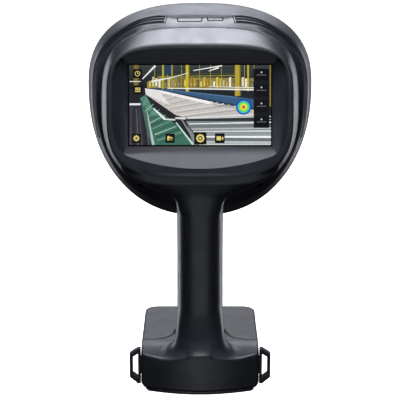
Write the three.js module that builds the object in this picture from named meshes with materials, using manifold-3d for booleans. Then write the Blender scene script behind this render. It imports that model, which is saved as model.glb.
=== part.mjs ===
// A handheld acoustic imaging scanner: a broad head with a plate of microphones and a camera in
// front, a tilted touch display behind, a pistol grip and a foot that carries a sliding battery.
//
// Millimetres, +Z up. The operator stands on the -Y side and the microphones face +Y. The origin is
// on the table under the middle of the foot and battery.
//
// Most shells are lofts between closed outlines. The head's outlines are eggs: superellipses whose
// upper and lower halves have their own height and power.
import * as THREE from "three";
import { mergeVertices } from "three/addons/utils/BufferGeometryUtils.js";
import Module from "manifold-3d";

const wasm = await Module();
wasm.setup();

// ---------------------------------------------------------------- driving dimensions

const GAP = 0.3; // clearance between pieces that touch
const WALL = 2.6; // moulded wall
const SIDES = 48; // points round an egg outline

// Head: y of its planes, and the egg outlines in them.
const HEAD_FRONT = 43;
const HEAD_SEAM = -3; // where the front housing meets the rear shell
const HEAD = { half: 91.7, up: 68, down: 108, mid: 235, upPower: 2.5, downPower: 2.2 };
const SEAM = { half: 86.9, up: 61.6, down: 101.5, mid: 235, upPower: 2.75, downPower: 2.2 };
const SEAM_STEP = 0.4; // the rear shell starts this far inside the front housing's edge

// Display: a frame that leans back, in its own plane (u right, v up, w towards the operator).
const TILT = THREE.MathUtils.degToRad(14);
const SCREEN = new THREE.Vector3(0, -33, 230.7);
const GLASS = { half: 58.6, tall: 34.6 }; // half sizes of the cover glass
const LCD = { half: 57, tall: 33 }; // a 5 inch, 16:9 panel and its edge
const RIM_W = 7; // the rim stands this far above the glass
const ROOT_W = -7; // the frame meets the rear shell here
const RIM = { half: 72.2, up: 47.7, down: 57, mid: 0, upPower: 4, downPower: 3.6 };
const RECESS = { half: 68.2, up: 43.4, down: 50, mid: 0, upPower: 5, downPower: 3.2 };
const ROOT = { half: 77.2, up: 61.8, down: 70, mid: 0, upPower: 3.3, downPower: 2.4 };
const BOWL_BULGE = 1.2; // how far the rear shell's wall swells between its two outlines

// Grip: half width and y of its back and front at heights z.
const GRIP_SPLIT = -28; // y of the seam between the grip's two halves
const GRIP_LEVELS = [
  { z: 32, half: 19.4, back: -52.5, front: -5 },
  { z: 60, half: 18.7, back: -50.6, front: -6 },
  { z: 110, half: 18.4, back: -50, front: -6.5 },
  { z: 150, half: 18.5, back: -50.4, front: -8 },
  { z: 168, half: 18.5, back: -51, front: -9 },
];

// Foot and battery.
const BASE_HEIGHT = 36;
const BASE_HALF = 47.6;
const BASE_NEAR = -60;
const BASE_FAR = 60;
const FOOT_SEAM = -29.6; // y where the battery meets the foot at its sides
const CHAMFER = 5.5;
const PLATE_THICK = 2.4;

// ---------------------------------------------------------------- materials

const plastic = (color, roughness) => new THREE.MeshStandardMaterial({ color, roughness });
const metal = (color, roughness) => new THREE.MeshStandardMaterial({ color, roughness, metalness: 1 });
const charcoal = plastic(0x2b2c30, 0.5);
const black = plastic(0x0d0d0f, 0.45);
const rubber = plastic(0x1a1a1c, 0.85);
const board = plastic(0x0d4a2c, 0.6);
const glass = plastic(0x08090c, 0.08);
const steel = metal(0xb5b7ba, 0.35);
const aluminium = metal(0xa9acb0, 0.5);
const gold = metal(0xc9a24a, 0.3);
const cellWrap = plastic(0x2a6fa8, 0.4);
const fabric = plastic(0x202022, 0.95);

// ---------------------------------------------------------------- geometry tools

const displayMatrix = new THREE.Matrix4()
  .makeRotationX(Math.PI / 2 - TILT)
  .setPosition(SCREEN);
const atDisplay = (u, v, w) => new THREE.Vector3(u, v, w).applyMatrix4(displayMatrix);

// A geometry as a manifold-3d solid with its faces pointing out.
function solidOf(geometry, matrix) {
  const flat = geometry.index ? geometry.toNonIndexed() : geometry;
  const bare = new THREE.BufferGeometry();
  bare.setAttribute("position", flat.getAttribute("position").clone());
  if (matrix) bare.applyMatrix4(matrix);
  const merged = mergeVertices(bare, 1e-4);
  const vertProperties = merged.attributes.position.array;
  const triVerts = new Uint32Array(merged.index.array);
  const make = () => new wasm.Manifold(new wasm.Mesh({ numProp: 3, vertProperties, triVerts }));
  const made = make();
  if (made.volume() > 0) return made;
  for (let i = 0; i < triVerts.length; i += 3) {
    [triVerts[i + 1], triVerts[i + 2]] = [triVerts[i + 2], triVerts[i + 1]];
  }
  return make();
}

function geometryOf(solid) {
  const mesh = solid.simplify(0.012).getMesh();
  const position = new Float32Array(mesh.numVert * 3);
  for (let i = 0; i < mesh.numVert; i++) {
    position.set(mesh.vertProperties.subarray(i * mesh.numProp, i * mesh.numProp + 3), i * 3);
  }
  const geometry = new THREE.BufferGeometry();
  geometry.setAttribute("position", new THREE.BufferAttribute(position, 3));
  geometry.setIndex(new THREE.BufferAttribute(mesh.triVerts, 1));
  return geometry;
}

const join = (...solids) => solids.reduce((a, b) => a.add(b));
const cut = (solid, ...tools) => tools.reduce((a, b) => a.subtract(b), solid);

// The triangles of one end of a loft, wound with the outline or against it.
function capTriangles(section, along) {
  const level = section.every((p) => Math.abs(p.z - section[0].z) < 1e-6);
  const flat = section.map((p) => new THREE.Vector2(p.x, level ? p.y : p.z));
  const turn = Math.sign(THREE.ShapeUtils.area(flat)) * (along ? 1 : -1);
  return THREE.ShapeUtils.triangulateShape(flat, []).map(([a, b, c]) => {
    const area = THREE.ShapeUtils.area([flat[a], flat[b], flat[c]]);
    return Math.sign(area) === turn ? [a, b, c] : [a, c, b];
  });
}

// A closed solid through outlines that have the same number of points.
function loft(sections) {
  const count = sections[0].length;
  const last = (sections.length - 1) * count;
  const index = [];
  sections.slice(1).forEach((_, s) => {
    for (let i = 0; i < count; i++) {
      const a = s * count + i;
      const b = s * count + ((i + 1) % count);
      index.push(a, b, b + count, a, b + count, a + count);
    }
  });
  for (const t of capTriangles(sections[0], false)) index.push(...t);
  for (const t of capTriangles(sections.at(-1), true)) index.push(...t.map((i) => i + last));
  const geometry = new THREE.BufferGeometry().setFromPoints(sections.flat());
  geometry.setIndex(index);
  return solidOf(geometry);
}

// A box between two corners, in the part's frame or in the frame of a matrix.
function box(low, high, matrix) {
  const size = high.map((value, i) => value - low[i]);
  const geometry = new THREE.BoxGeometry(...size);
  geometry.translate(...high.map((value, i) => (value + low[i]) / 2));
  return solidOf(geometry, matrix);
}

// A cylinder from a point along a direction.
function rod(start, direction, radius, length, segments = 16) {
  const geometry = new THREE.CylinderGeometry(radius, radius, length, segments);
  geometry.translate(0, length / 2, 0);
  const turn = new THREE.Quaternion().setFromUnitVectors(
    new THREE.Vector3(0, 1, 0),
    direction.clone().normalize(),
  );
  geometry.applyQuaternion(turn);
  geometry.translate(start.x, start.y, start.z);
  return solidOf(geometry);
}

// A flat outline pulled straight along its own normal.
function extrude(shape, depth, matrix, curveSegments = 8) {
  const geometry = new THREE.ExtrudeGeometry(shape, { depth, bevelEnabled: false, curveSegments });
  return solidOf(geometry, matrix);
}

// Frames for outlines that don't lie in the XY plane. Each maps an outline's x, y and depth.
const basis = (x, y, z) =>
  new THREE.Matrix4().makeBasis(new THREE.Vector3(...x), new THREE.Vector3(...y), new THREE.Vector3(...z));
const standing = basis([1, 0, 0], [0, 0, 1], [0, -1, 0]); // outline in XZ, depth towards -Y
const sideways = basis([0, 1, 0], [0, 0, 1], [1, 0, 0]); // outline in YZ, depth towards +X

// One point of an egg at an angle, as [across, up], with its outline moved in by inset.
function eggPoint(egg, angle, inset = 0) {
  const c = Math.cos(angle);
  const s = Math.sin(angle);
  const power = s >= 0 ? egg.upPower : egg.downPower;
  const height = (s >= 0 ? egg.up : egg.down) - inset;
  return [
    (egg.half - inset) * Math.sign(c) * Math.abs(c) ** (2 / power),
    egg.mid + height * Math.sign(s) * Math.abs(s) ** (2 / power),
  ];
}

const angles = Array.from({ length: SIDES }, (_, i) => ((i + 0.5) / SIDES) * 2 * Math.PI);

// An egg outline in the plane at y, and one in the display's plane at w.
const ring = (egg, y, inset) =>
  angles.map((a) => {
    const [x, z] = eggPoint(egg, a, inset);
    return new THREE.Vector3(x, y, z);
  });
const displayRing = (egg, w, inset) =>
  angles.map((a) => atDisplay(...eggPoint(egg, a, inset), w));

// A plate of an egg outline between two planes.
const eggPlate = (egg, near, far, inset) => loft([ring(egg, near, inset), ring(egg, far, inset)]);

// A point of the rear shell: step is 0 at the front housing and 1 at the display frame, and depth
// is measured inwards from the outer face.
function bowlPoint(angle, step, depth) {
  const inset = depth - BOWL_BULGE * 4 * step * (1 - step);
  const [x, z] = eggPoint(SEAM, angle, inset + SEAM_STEP);
  const front = new THREE.Vector3(x, HEAD_SEAM - GAP, z);
  const back = atDisplay(...eggPoint(ROOT, angle, inset), ROOT_W);
  return front.lerp(back, step);
}
const bowlRing = (step, depth) => angles.map((a) => bowlPoint(a, step, depth));
const bowl = (depth, first = 0, last = 1) =>
  loft([0, 0.25, 0.5, 0.75, 1].map((k) => bowlRing(first + (last - first) * k, depth)));

// A curved block of the rear shell's wall between two angles, two steps and two depths. Its low
// step is the same all along; its high step may differ at its two ends.
function bowlPatch([angle0, angle1], [low, high0, high1], [depth0, depth1], columns = 12) {
  const at = (i, step, depth) =>
    bowlPoint(angle0 + ((angle1 - angle0) * i) / columns, step, depth);
  const sections = Array.from({ length: columns + 1 }, (_, i) => {
    const high = high0 + ((high1 - high0) * i) / columns;
    const foot = Array.isArray(low) ? low[0] + ((low[1] - low[0]) * i) / columns : low;
    return [at(i, foot, depth0), at(i, high, depth0), at(i, high, depth1), at(i, foot, depth1)];
  });
  const index = [];
  for (let s = 0; s < columns; s++) {
    for (let i = 0; i < 4; i++) {
      const a = s * 4 + i;
      const b = s * 4 + ((i + 1) % 4);
      index.push(a, b, b + 4, a, b + 4, a + 4);
    }
  }
  const end = columns * 4;
  index.push(0, 2, 1, 0, 3, 2, end, end + 1, end + 2, end, end + 2, end + 3);
  const geometry = new THREE.BufferGeometry().setFromPoints(sections.flat());
  geometry.setIndex(index);
  return solidOf(geometry);
}

// ---------------------------------------------------------------- the exported group

const scanner = new THREE.Group();

function add(name, solid, material, parent = scanner) {
  const mesh = new THREE.Mesh(geometryOf(solid), material);
  mesh.name = name;
  parent.add(mesh);
  return mesh;
}

// ---------------------------------------------------------------- grip and neck

// A rounded-oval section of the grip, moved in by inset.
function gripRing({ z, half, back, front }, inset = 0, power = 2.7) {
  const middle = (back + front) / 2;
  const depth = (front - back) / 2 - inset;
  return Array.from({ length: 28 }, (_, i) => {
    const angle = (i / 28) * 2 * Math.PI;
    const c = Math.cos(angle);
    const s = Math.sin(angle);
    return new THREE.Vector3(
      (half - inset) * Math.sign(c) * Math.abs(c) ** (2 / power),
      middle + depth * Math.sign(s) * Math.abs(s) ** (2 / power),
      z,
    );
  });
}
const grip = (inset) => loft(GRIP_LEVELS.map((level) => gripRing(level, inset)));

// The neck widens from the grip's back half into the display frame.
const NECK_LEVELS = [
  { z: 146, half: 18.4, back: -50.3, front: -29 },
  { z: 156, half: 19.4, back: -50.8, front: -33 },
  { z: 160.5, half: 22, back: -51.4, front: -36 },
  { z: 164, half: 27.5, back: -52, front: -39 },
  { z: 168, half: 37, back: -52.8, front: -40 },
  { z: 173, half: 48, back: -53.6, front: -42 },
  { z: 178, half: 58, back: -53.2, front: -42 },
  { z: 183, half: 62, back: -51.9, front: -42 },
];
const neck = (inset) => loft(NECK_LEVELS.map((level) => gripRing(level, inset, 3)));

// The shoulders widen from the grip's back half into the foot.
const SHOULDER_LEVELS = [
  { z: 18, half: 34, back: -59, front: -29 },
  { z: 24, half: 33, back: -59.6, front: -28 },
  { z: 29, half: 30, back: -59.4, front: -27 },
  { z: 34, half: 26, back: -57.8, front: -26 },
  { z: 40, half: 22.6, back: -55.4, front: -26 },
  { z: 48, half: 20, back: -52.8, front: -27 },
  { z: 58, half: 18.7, back: -50.9, front: -28 },
];

// ---------------------------------------------------------------- foot

// The foot's plan: a bowed bar across the back with a stem under the grip, moved in by inset. The
// chamfer under the foot is wide at its sides and thin along the bow.
function footPlan(inset, chamfer = 0) {
  const side = BASE_HALF - inset - chamfer;
  const stem = 20 - inset;
  const bowMiddle = BASE_NEAR + inset + chamfer * 0.12;
  const bowEnd = -49.6 + inset + chamfer * 0.12;
  const plan = new THREE.Shape();
  plan.moveTo(side, FOOT_SEAM - inset);
  plan.lineTo(36, FOOT_SEAM + 1.2 - inset);
  plan.bezierCurveTo(26, FOOT_SEAM + 3 - inset, stem + 1.4, -17, stem + 0.3, -8);
  plan.lineTo(stem, -5);
  plan.bezierCurveTo(stem, -1 - inset, 12, 1 - inset, 0, 1 - inset);
  plan.bezierCurveTo(-12, 1 - inset, -stem, -1 - inset, -stem, -5);
  plan.lineTo(-stem - 0.3, -8);
  plan.bezierCurveTo(-stem - 1.4, -17, -26, FOOT_SEAM + 3 - inset, -36, FOOT_SEAM + 1.2 - inset);
  plan.lineTo(-side, FOOT_SEAM - inset);
  plan.lineTo(-side, bowEnd + 3.5);
  plan.quadraticCurveTo(-side, bowEnd, -side + 4.5, bowEnd - 1.2);
  plan.quadraticCurveTo(-20, bowMiddle, 0, bowMiddle);
  plan.quadraticCurveTo(20, bowMiddle, side - 4.5, bowEnd - 1.2);
  plan.quadraticCurveTo(side, bowEnd, side, bowEnd + 3.5);
  return plan;
}
const footRing = (z, inset, chamfer) =>
  footPlan(inset, chamfer).getPoints(5).map((p) => new THREE.Vector3(p.x, p.y, z));
const footBlock = (...levels) => loft(levels.map((level) => footRing(...level)));

// A wedge that slopes the foot's top down towards the operator.
function shoulderWedge() {
  const slope = new THREE.Shape();
  slope.moveTo(-30.5, BASE_HEIGHT + 1);
  slope.lineTo(-30.5, BASE_HEIGHT);
  slope.quadraticCurveTo(-42, BASE_HEIGHT - 2, -53, 29.6);
  slope.lineTo(BASE_NEAR - 1, 24.5);
  slope.lineTo(BASE_NEAR - 1, BASE_HEIGHT + 1);
  return extrude(slope, 100, new THREE.Matrix4().makeTranslation(-50, 0, 0).multiply(sideways), 4);
}

const PLATE_SCREWS = [
  [-36, -40],
  [36, -40],
  [-13.5, -21],
  [13.5, -21],
];

function buildBasePlate() {
  const plate = cut(
    footBlock([0, 0.3, CHAMFER], [PLATE_THICK, 0.3, CHAMFER - PLATE_THICK]),
    ...PLATE_SCREWS.flatMap(([x, y]) => [
      rod(new THREE.Vector3(x, y, -1), new THREE.Vector3(0, 0, 1), 1.6, 6, 12),
      rod(new THREE.Vector3(x, y, -1), new THREE.Vector3(0, 0, 1), 3, 2.4, 12),
    ]),
  );
  add("base_plate", plate, black);
  const profile = [
    [0, 0],
    [2.7, 0],
    [2.7, 0.9],
    [1.3, 0.9],
    [1.3, 9],
    [0, 9],
  ].map(([r, h]) => new THREE.Vector2(r, h));
  PLATE_SCREWS.forEach(([x, y], i) => {
    const screw = solidOf(new THREE.LatheGeometry(profile, 12), basis([1, 0, 0], [0, 0, 1], [0, -1, 0]));
    add(`base_screw_${i + 1}`, screw, steel).position.set(x, y, 0.2);
  });
}

// ---------------------------------------------------------------- rear housing

// The display frame: the lofted rim with its sunk screen surround and the pocket for the display.
function displayFrame() {
  const outside = loft([
    displayRing(ROOT, ROOT_W + GAP, 0),
    displayRing(ROOT, ROOT_W + 5, 1),
    displayRing(RIM, RIM_W - 1.2, -0.6),
    displayRing(RIM, RIM_W, 0.6),
  ]);
  const floor = { half: GLASS.half + 1, up: GLASS.tall + 1, down: GLASS.tall + 1, mid: 0 };
  const window = { ...floor, upPower: 14, downPower: 14 };
  const recess = loft([displayRing(window, 0, 0), displayRing(RECESS, RIM_W + 0.1, 0)]);
  const pocket = box(
    [-GLASS.half - GAP, -GLASS.tall - GAP, -1.7],
    [GLASS.half + GAP, GLASS.tall + GAP, 0.4],
    displayMatrix,
  );
  const opening = box(
    [-LCD.half - GAP, -LCD.tall - GAP, ROOT_W - 2],
    [LCD.half + GAP, LCD.tall + GAP, 2],
    displayMatrix,
  );
  const hollow = loft([
    displayRing(ROOT, ROOT_W - 2, 3.4),
    displayRing(ROOT, -3.4, 5.4),
  ]);
  return { outside, tools: [recess, pocket, opening, hollow] };
}

function buildRearHousing() {
  const frame = displayFrame();
  const everything = box([-200, -100, -10], [200, GRIP_SPLIT - GAP / 2, 400]);
  const gripBack = grip(0).intersect(everything);
  const shoulders = loft(SHOULDER_LEVELS.map((level) => gripRing(level, 0, 2.4)));
  const foot = cut(
    footBlock([PLATE_THICK + GAP, 0, CHAMFER - PLATE_THICK - GAP], [CHAMFER, 0], [BASE_HEIGHT, 0]),
    shoulderWedge(),
  );
  const footHollow = cut(
    footBlock([0, 3, 4], [CHAMFER, 3, 1], [BASE_HEIGHT - 14, 3], [BASE_HEIGHT - 9.5, 6]),
    ...PLATE_SCREWS.map(([x, y]) => rod(new THREE.Vector3(x, y, 0), new THREE.Vector3(0, 0, 1), 3.6, 40, 12)),
  );
  const shell = cut(
    join(frame.outside, neck(0), gripBack, shoulders, foot),
    ...frame.tools,
    footHollow,
    grip(WALL + 0.2),
    ...PLATE_SCREWS.map(([x, y]) => rod(new THREE.Vector3(x, y, 0), new THREE.Vector3(0, 0, 1), 1.5, 11, 12)),
    box([-13.3, -8, 8.7], [13.3, 2, 21.3]), // the contact block passes through the stem's front wall
    box([-11, -25, 20], [11, -11, 36]), // the way up for the battery lead
    box([-BASE_HALF - 1, -46.4, 12], [-BASE_HALF + 6, -38.6, 27]), // strap loop tangs
    box([BASE_HALF - 6, -46.4, 12], [BASE_HALF + 1, -38.6, 27]),
  );
  const kept = shell.decompose().sort((a, b) => b.volume() - a.volume())[0];
  add("rear_housing", kept, charcoal);
}

function buildGripFrontCover() {
  const half = box([-200, GRIP_SPLIT + GAP / 2, BASE_HEIGHT + GAP], [200, 100, 400]);
  const cover = cut(
    grip(0).intersect(half),
    grip(WALL),
    bowl(-GAP),
    box([-7.4, -30, 92], [7.4, 20, 117.6]), // trigger window
    rod(new THREE.Vector3(0, -30, 80), new THREE.Vector3(0, 1, 0), 5.3, 50, 20), // power button hole
  );
  const kept = cover.decompose().sort((a, b) => b.volume() - a.volume())[0];
  add("grip_front_cover", kept, charcoal);
}

// ---------------------------------------------------------------- strap loops

function buildStrapLoops() {
  const outer = [
    [0, 4],
    [0, 34],
    [2.4, 34],
    [9, 29.6],
    [9, 9.6],
    [2.4, 4],
  ];
  const slot = [
    [2, 8.9],
    [6.6, 12.4],
    [6.6, 27.4],
    [2, 30.2],
  ];
  for (const side of [-1, 1]) {
    const place = ([x, z]) => new THREE.Vector2(side * (BASE_HALF + GAP + x), z);
    const shape = new THREE.Shape(outer.map(place));
    shape.holes.push(new THREE.Path(slot.map(place)));
    const loop = extrude(shape, 7, new THREE.Matrix4().makeTranslation(0, -39, 0).multiply(standing));
    const near = side * (BASE_HALF - 4);
    const far = side * (BASE_HALF + 1);
    const tang = box([Math.min(near, far), -46, 12.4], [Math.max(near, far), -39, 26.6]);
    add(side < 0 ? "strap_loop_left" : "strap_loop_right", join(loop, tang), black);
  }
}

// ---------------------------------------------------------------- head shells

function buildFrontHousing() {
  const outside = loft([
    ring(SEAM, HEAD_SEAM, 0),
    ring(HEAD, 27, 0),
    ring(HEAD, 35, 0),
    ring(HEAD, 40.5, 1.6),
    ring(HEAD, HEAD_FRONT, 5),
  ]);
  const inside = loft([
    ring(SEAM, HEAD_SEAM - 1, WALL),
    ring(HEAD, 27, WALL),
    ring(HEAD, 36, WALL),
  ]);
  const opening = eggPlate(HEAD, 30, HEAD_FRONT + 1, 9);
  add("front_housing", cut(outside, inside, opening), charcoal);
}

// The vents: a window either side of the head, each filled by a grille with three long slots. They
// are widest near the top of the head.
const VENTS = {
  right: { angles: [-0.34, 1.37], wide: [0.36, 0.76] },
  left: { angles: [Math.PI + 0.34, Math.PI - 1.37], wide: [0.36, 0.76] },
};
const VENT_EDGE = 0.05;
const ventStep = (wide, share) => VENT_EDGE + (wide - VENT_EDGE) * share;
const ventPatch = ({ angles: [from, to], wide }, trim, [share0, share1], depths) => {
  const turn = Math.sign(to - from) * trim;
  const low = wide.map((w) => ventStep(w, share0));
  const high = wide.map((w) => ventStep(w, share1));
  return bowlPatch([from + turn, to - turn], [low, ...high], depths);
};

function buildGrilles() {
  for (const [side, vent] of Object.entries(VENTS)) {
    const strip = ventPatch(vent, 0.006, [0.05, 0.95], [0, 1.8]);
    const slots = [0, 1, 2].map((k) => ventPatch(vent, 0.03, [(k + 0.26) / 3, (k + 0.74) / 3], [-1, 3]));
    add(`vent_grille_${side}`, cut(strip, ...slots), black);
  }
}

// The screws that hold the head together sit in wells low on either side of the rear shell.
const HEAD_SCREW = { x: 47, y: -12, z: 166 };
const backwards = new THREE.Vector3(0, -1, 0);
const wellStart = (side) => new THREE.Vector3(side * HEAD_SCREW.x, HEAD_SCREW.y, HEAD_SCREW.z);

function buildHeadScrews() {
  const profile = [
    [0, 0],
    [2.9, 0],
    [2.9, 2.2],
    [1.5, 2.2],
    [1.5, 11],
    [0, 11],
  ].map(([r, h]) => new THREE.Vector2(r, h));
  for (const side of [-1, 1]) {
    const screw = solidOf(new THREE.LatheGeometry(profile, 16));
    const name = side < 0 ? "head_screw_left" : "head_screw_right";
    add(name, screw, steel).position.copy(wellStart(side)).add(new THREE.Vector3(0, -4.4, 0));
  }
}

// ---------------------------------------------------------------- ports and their flaps

// The port land: a frame on the top edge of the rear shell, x right, y away from the operator and
// up along the shell, z out of it.
const PORT_SLOPE = THREE.MathUtils.degToRad(40);
const PORT_EDGE = new THREE.Vector3(0, HEAD_SEAM - GAP, 295.7);
const portMatrix = new THREE.Matrix4().makeRotationX(PORT_SLOPE).setPosition(PORT_EDGE);
const FLAP_DEEP = 1.2;
const FLAP_SWING = 0.2; // a flap's free edge swings this far out as it opens
const PORTS = {
  card: { x: -8.1, width: 19.3, near: -5.3, far: -0.6 },
  usb_c: { x: 12, width: 12.4, near: -4.3, far: -0.6 },
};

// The hole that a flap lies in, with the port's mouth below it.
function portTools({ x, width, near, far }) {
  const half = width / 2;
  return [
    box(
      [x - half - GAP, near - GAP - FLAP_SWING, -FLAP_DEEP - 0.5],
      [x + half + GAP, far + GAP, 4],
      portMatrix,
    ),
    box([x - half + 1.4, near + 0.5, -9], [x + half - 1.4, far - 0.3, 0], portMatrix),
  ];
}

function buildFlaps() {
  for (const [name, port] of Object.entries(PORTS)) {
    const half = port.width / 2;
    const block = box([port.x - half, port.near, -FLAP_DEEP], [port.x + half, port.far, 4], portMatrix);
    add(`${name}_flap`, block.intersect(bowl(0)), rubber);
  }
}

function buildRearShell() {
  const shell = cut(
    bowl(0),
    bowl(2.4, -0.05, 1.05),
    neck(-GAP),
    grip(-GAP),
    ...Object.values(VENTS).map((vent) => ventPatch(vent, 0, [0, 1], [-1.5, 2.6])),
    ...Object.values(PORTS).flatMap(portTools),
  );
  const posts = [-1, 1].map((side) => {
    const tip = wellStart(side).add(new THREE.Vector3(0, 14, 0));
    return rod(tip, backwards, 6, 40, 20).intersect(bowl(0.05));
  });
  const wells = [-1, 1].map((side) =>
    rod(wellStart(side).add(new THREE.Vector3(0, -2, 0)), backwards, 4, 40, 20),
  );
  const holes = [-1, 1].map((side) =>
    rod(wellStart(side).add(new THREE.Vector3(0, 15, 0)), backwards, 1.8, 40, 12),
  );
  const whole = cut(join(shell, ...posts), ...wells, ...holes);
  const kept = whole.decompose().sort((a, b) => b.volume() - a.volume())[0];
  add("rear_shell", kept, charcoal);
}

// ---------------------------------------------------------------- inside the head

const LENS = { x: 0, z: 214 };

function buildFrontPlate() {
  const lensHole = rod(new THREE.Vector3(LENS.x, 20, LENS.z), new THREE.Vector3(0, 1, 0), 13.3, 40, 32);
  const lampHoles = [-1, 1].map((side) =>
    rod(new THREE.Vector3(side * 24, 20, LENS.z), new THREE.Vector3(0, 1, 0), 4.3, 40, 16),
  );
  add("microphone_panel", cut(eggPlate(HEAD, 38.6, 41.6, 9 + GAP), lensHole, ...lampHoles), black);
  add("dust_screen", cut(eggPlate(HEAD, 37.4, 38.2, 11), lensHole, ...lampHoles), fabric);
  add("microphone_board", cut(eggPlate(HEAD, 34.8, 36.6, 12), lensHole), board);
}

function lathe(points, segments = 24) {
  const profile = points.map(([r, y]) => new THREE.Vector2(r, y));
  return solidOf(new THREE.LatheGeometry(profile, segments));
}

function buildCamera() {
  const camera = new THREE.Group();
  camera.position.set(LENS.x, 0, LENS.z);
  scanner.add(camera);
  const bezel = [
    [9, 37.6],
    [13, 37.6],
    [13, 42.6],
    [12.2, 43.2],
    [9.4, 41.6],
    [9, 41.6],
    [9, 37.6],
  ];
  const barrel = [
    [0, 23],
    [8.4, 23],
    [8.4, 33],
    [7.4, 34],
    [7.4, 38.2],
    [5.6, 38.2],
    [3.4, 35.6],
    [0, 35.2],
  ];
  add("camera_bezel", lathe(bezel, 32), black, camera);
  add("camera_barrel", lathe(barrel), black, camera);
  const window = [
    [0, 38.6],
    [8.7, 38.6],
    [8.7, 40],
    [0, 40],
  ];
  add("camera_window", lathe(window), glass, camera);
  add("camera_board", box([-14, 20.8, -14], [14, 22.6, 14]), board, camera);
}

function buildLamps() {
  const lens = [
    [0, 36.9],
    [4, 36.9],
    [4, 41.4],
    [2.6, 42.2],
    [0, 42.5],
  ];
  for (const side of [-1, 1]) {
    const name = side < 0 ? "lamp_lens_left" : "lamp_lens_right";
    add(name, lathe(lens, 16), glass).position.set(side * 24, 0, LENS.z);
  }
}

function buildChassis() {
  const plate = cut(
    eggPlate(HEAD, 8, 10, 12),
    rod(new THREE.Vector3(LENS.x, 0, LENS.z), new THREE.Vector3(0, 1, 0), 18, 30, 24),
    box([-40, 0, 240], [40, 20, 262]),
  );
  add("chassis_plate", plate, aluminium);
  const seal = cut(
    eggPlate(SEAM, -2.7, -1.2, WALL + 0.4),
    eggPlate(SEAM, -10, 4, WALL + 2.6),
    box([-20, -10, 260], [22, 10, 310]), // the ports pass here
  );
  add("head_seal", seal, rubber);
}

// The display stack and the boards lie in the display's own frame.
function buildDisplay() {
  const display = new THREE.Group();
  display.position.copy(SCREEN);
  display.rotation.x = Math.PI / 2 - TILT;
  scanner.add(display);
  add("touch_glass", box([-GLASS.half, -GLASS.tall, -1.4], [GLASS.half, GLASS.tall, 0]), glass, display);
  add("lcd_module", box([-LCD.half, -LCD.tall, -5.6], [LCD.half, LCD.tall, -1.7]), black, display);
  add("main_board", box([-52, -34, -13], [52, 38, -11.4]), board, display);
  const fins = Array.from({ length: 9 }, (_, i) => box([-26 + i * 6, -16, -24], [-24 + i * 6, 24, -16]));
  add("heat_sink", join(box([-26, -16, -16.4], [24, 24, -13.3]), ...fins), aluminium, display);
}

function buildPorts() {
  const ports = new THREE.Group();
  ports.applyMatrix4(portMatrix);
  scanner.add(ports);
  const { card, usb_c: usb } = PORTS;
  const cardMiddle = (card.near + card.far) / 2;
  const usbMiddle = (usb.near + usb.far) / 2;
  const slot = cut(
    box([card.x - 7, cardMiddle - 1.3, -17], [card.x + 7, cardMiddle + 1.3, -3.2]),
    box([card.x - 5.9, cardMiddle - 0.8, -15.6], [card.x + 5.9, cardMiddle + 0.8, -3]),
  );
  add("card_slot", slot, steel, ports);
  const chip = box([card.x - 5.5, cardMiddle - 0.45, -15.2], [card.x + 5.5, cardMiddle + 0.45, -2.4]);
  add("memory_card", chip, black, ports);
  const socket = cut(
    box([usb.x - 4.4, usbMiddle - 1.55, -10.6], [usb.x + 4.4, usbMiddle + 1.55, -2.4]),
    box([usb.x - 4.1, usbMiddle - 1.25, -9.8], [usb.x + 4.1, usbMiddle + 1.25, -2]),
  );
  const tongue = box([usb.x - 3.3, usbMiddle - 0.35, -10], [usb.x + 3.3, usbMiddle + 0.35, -3.4]);
  add("usb_c_socket", join(socket, tongue), steel, ports);
}

// ---------------------------------------------------------------- grip mechanisms

class Helix extends THREE.Curve {
  constructor(radius, length, turns) {
    super();
    Object.assign(this, { radius, length, turns });
  }

  getPoint(t, target = new THREE.Vector3()) {
    const angle = t * this.turns * 2 * Math.PI;
    return target.set(this.radius * Math.cos(angle), t * this.length, this.radius * Math.sin(angle));
  }
}

// A coil spring along +Y.
function spring(radius, length, turns, wire = 0.35) {
  const section = new THREE.Shape();
  for (let i = 0; i < 6; i++) {
    const angle = (i / 6) * 2 * Math.PI;
    const point = [wire * Math.cos(angle), wire * Math.sin(angle)];
    if (i === 0) section.moveTo(...point);
    else section.lineTo(...point);
  }
  const extrudePath = new Helix(radius, length, turns);
  return solidOf(new THREE.ExtrudeGeometry(section, { steps: turns * 10, extrudePath }));
}

function buildTrigger() {
  const profile = new THREE.Shape();
  profile.moveTo(-14, 92.6);
  profile.lineTo(-5, 92.6);
  profile.quadraticCurveTo(-1, 94, -1.6, 100);
  profile.quadraticCurveTo(-2.6, 106, -1, 112);
  profile.quadraticCurveTo(0, 116.6, -4, 117);
  profile.lineTo(-14, 117);
  const paddle = extrude(profile, 14, new THREE.Matrix4().makeTranslation(-7, 0, 0).multiply(sideways), 5);
  add("trigger", join(paddle, box([-9, -14, 90.4], [9, -11.4, 119.2])), black);
  add("trigger_spring", spring(2.2, 6, 4), steel).position.set(0, -20.8, 113);
  const plunger = box([-2, -21, 100], [2, -17.4, 104]);
  add("trigger_switch", join(box([-5, -27.2, 96], [5, -20, 107]), plunger), black);
  const forward = new THREE.Vector3(0, 1, 0);
  const cap = join(
    rod(new THREE.Vector3(0, -12, 80), forward, 5, 7.2, 20),
    rod(new THREE.Vector3(0, -12, 80), forward, 6.2, 2.4, 20),
  );
  add("power_button", cap, rubber);
  const dome = rod(new THREE.Vector3(0, -16, 80), forward, 2, 2.6, 12);
  add("power_switch", join(box([-4.5, -27.2, 75.5], [4.5, -15.4, 84.5]), dome), black);
  const bracket = join(
    box([-13, -29.6, 70], [13, -27.6, 120]),
    box([-4, -28, 109.6], [4, -21.2, 116.4]), // the trigger spring rests on this block
  );
  add("switch_bracket", bracket, aluminium);
}

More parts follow.
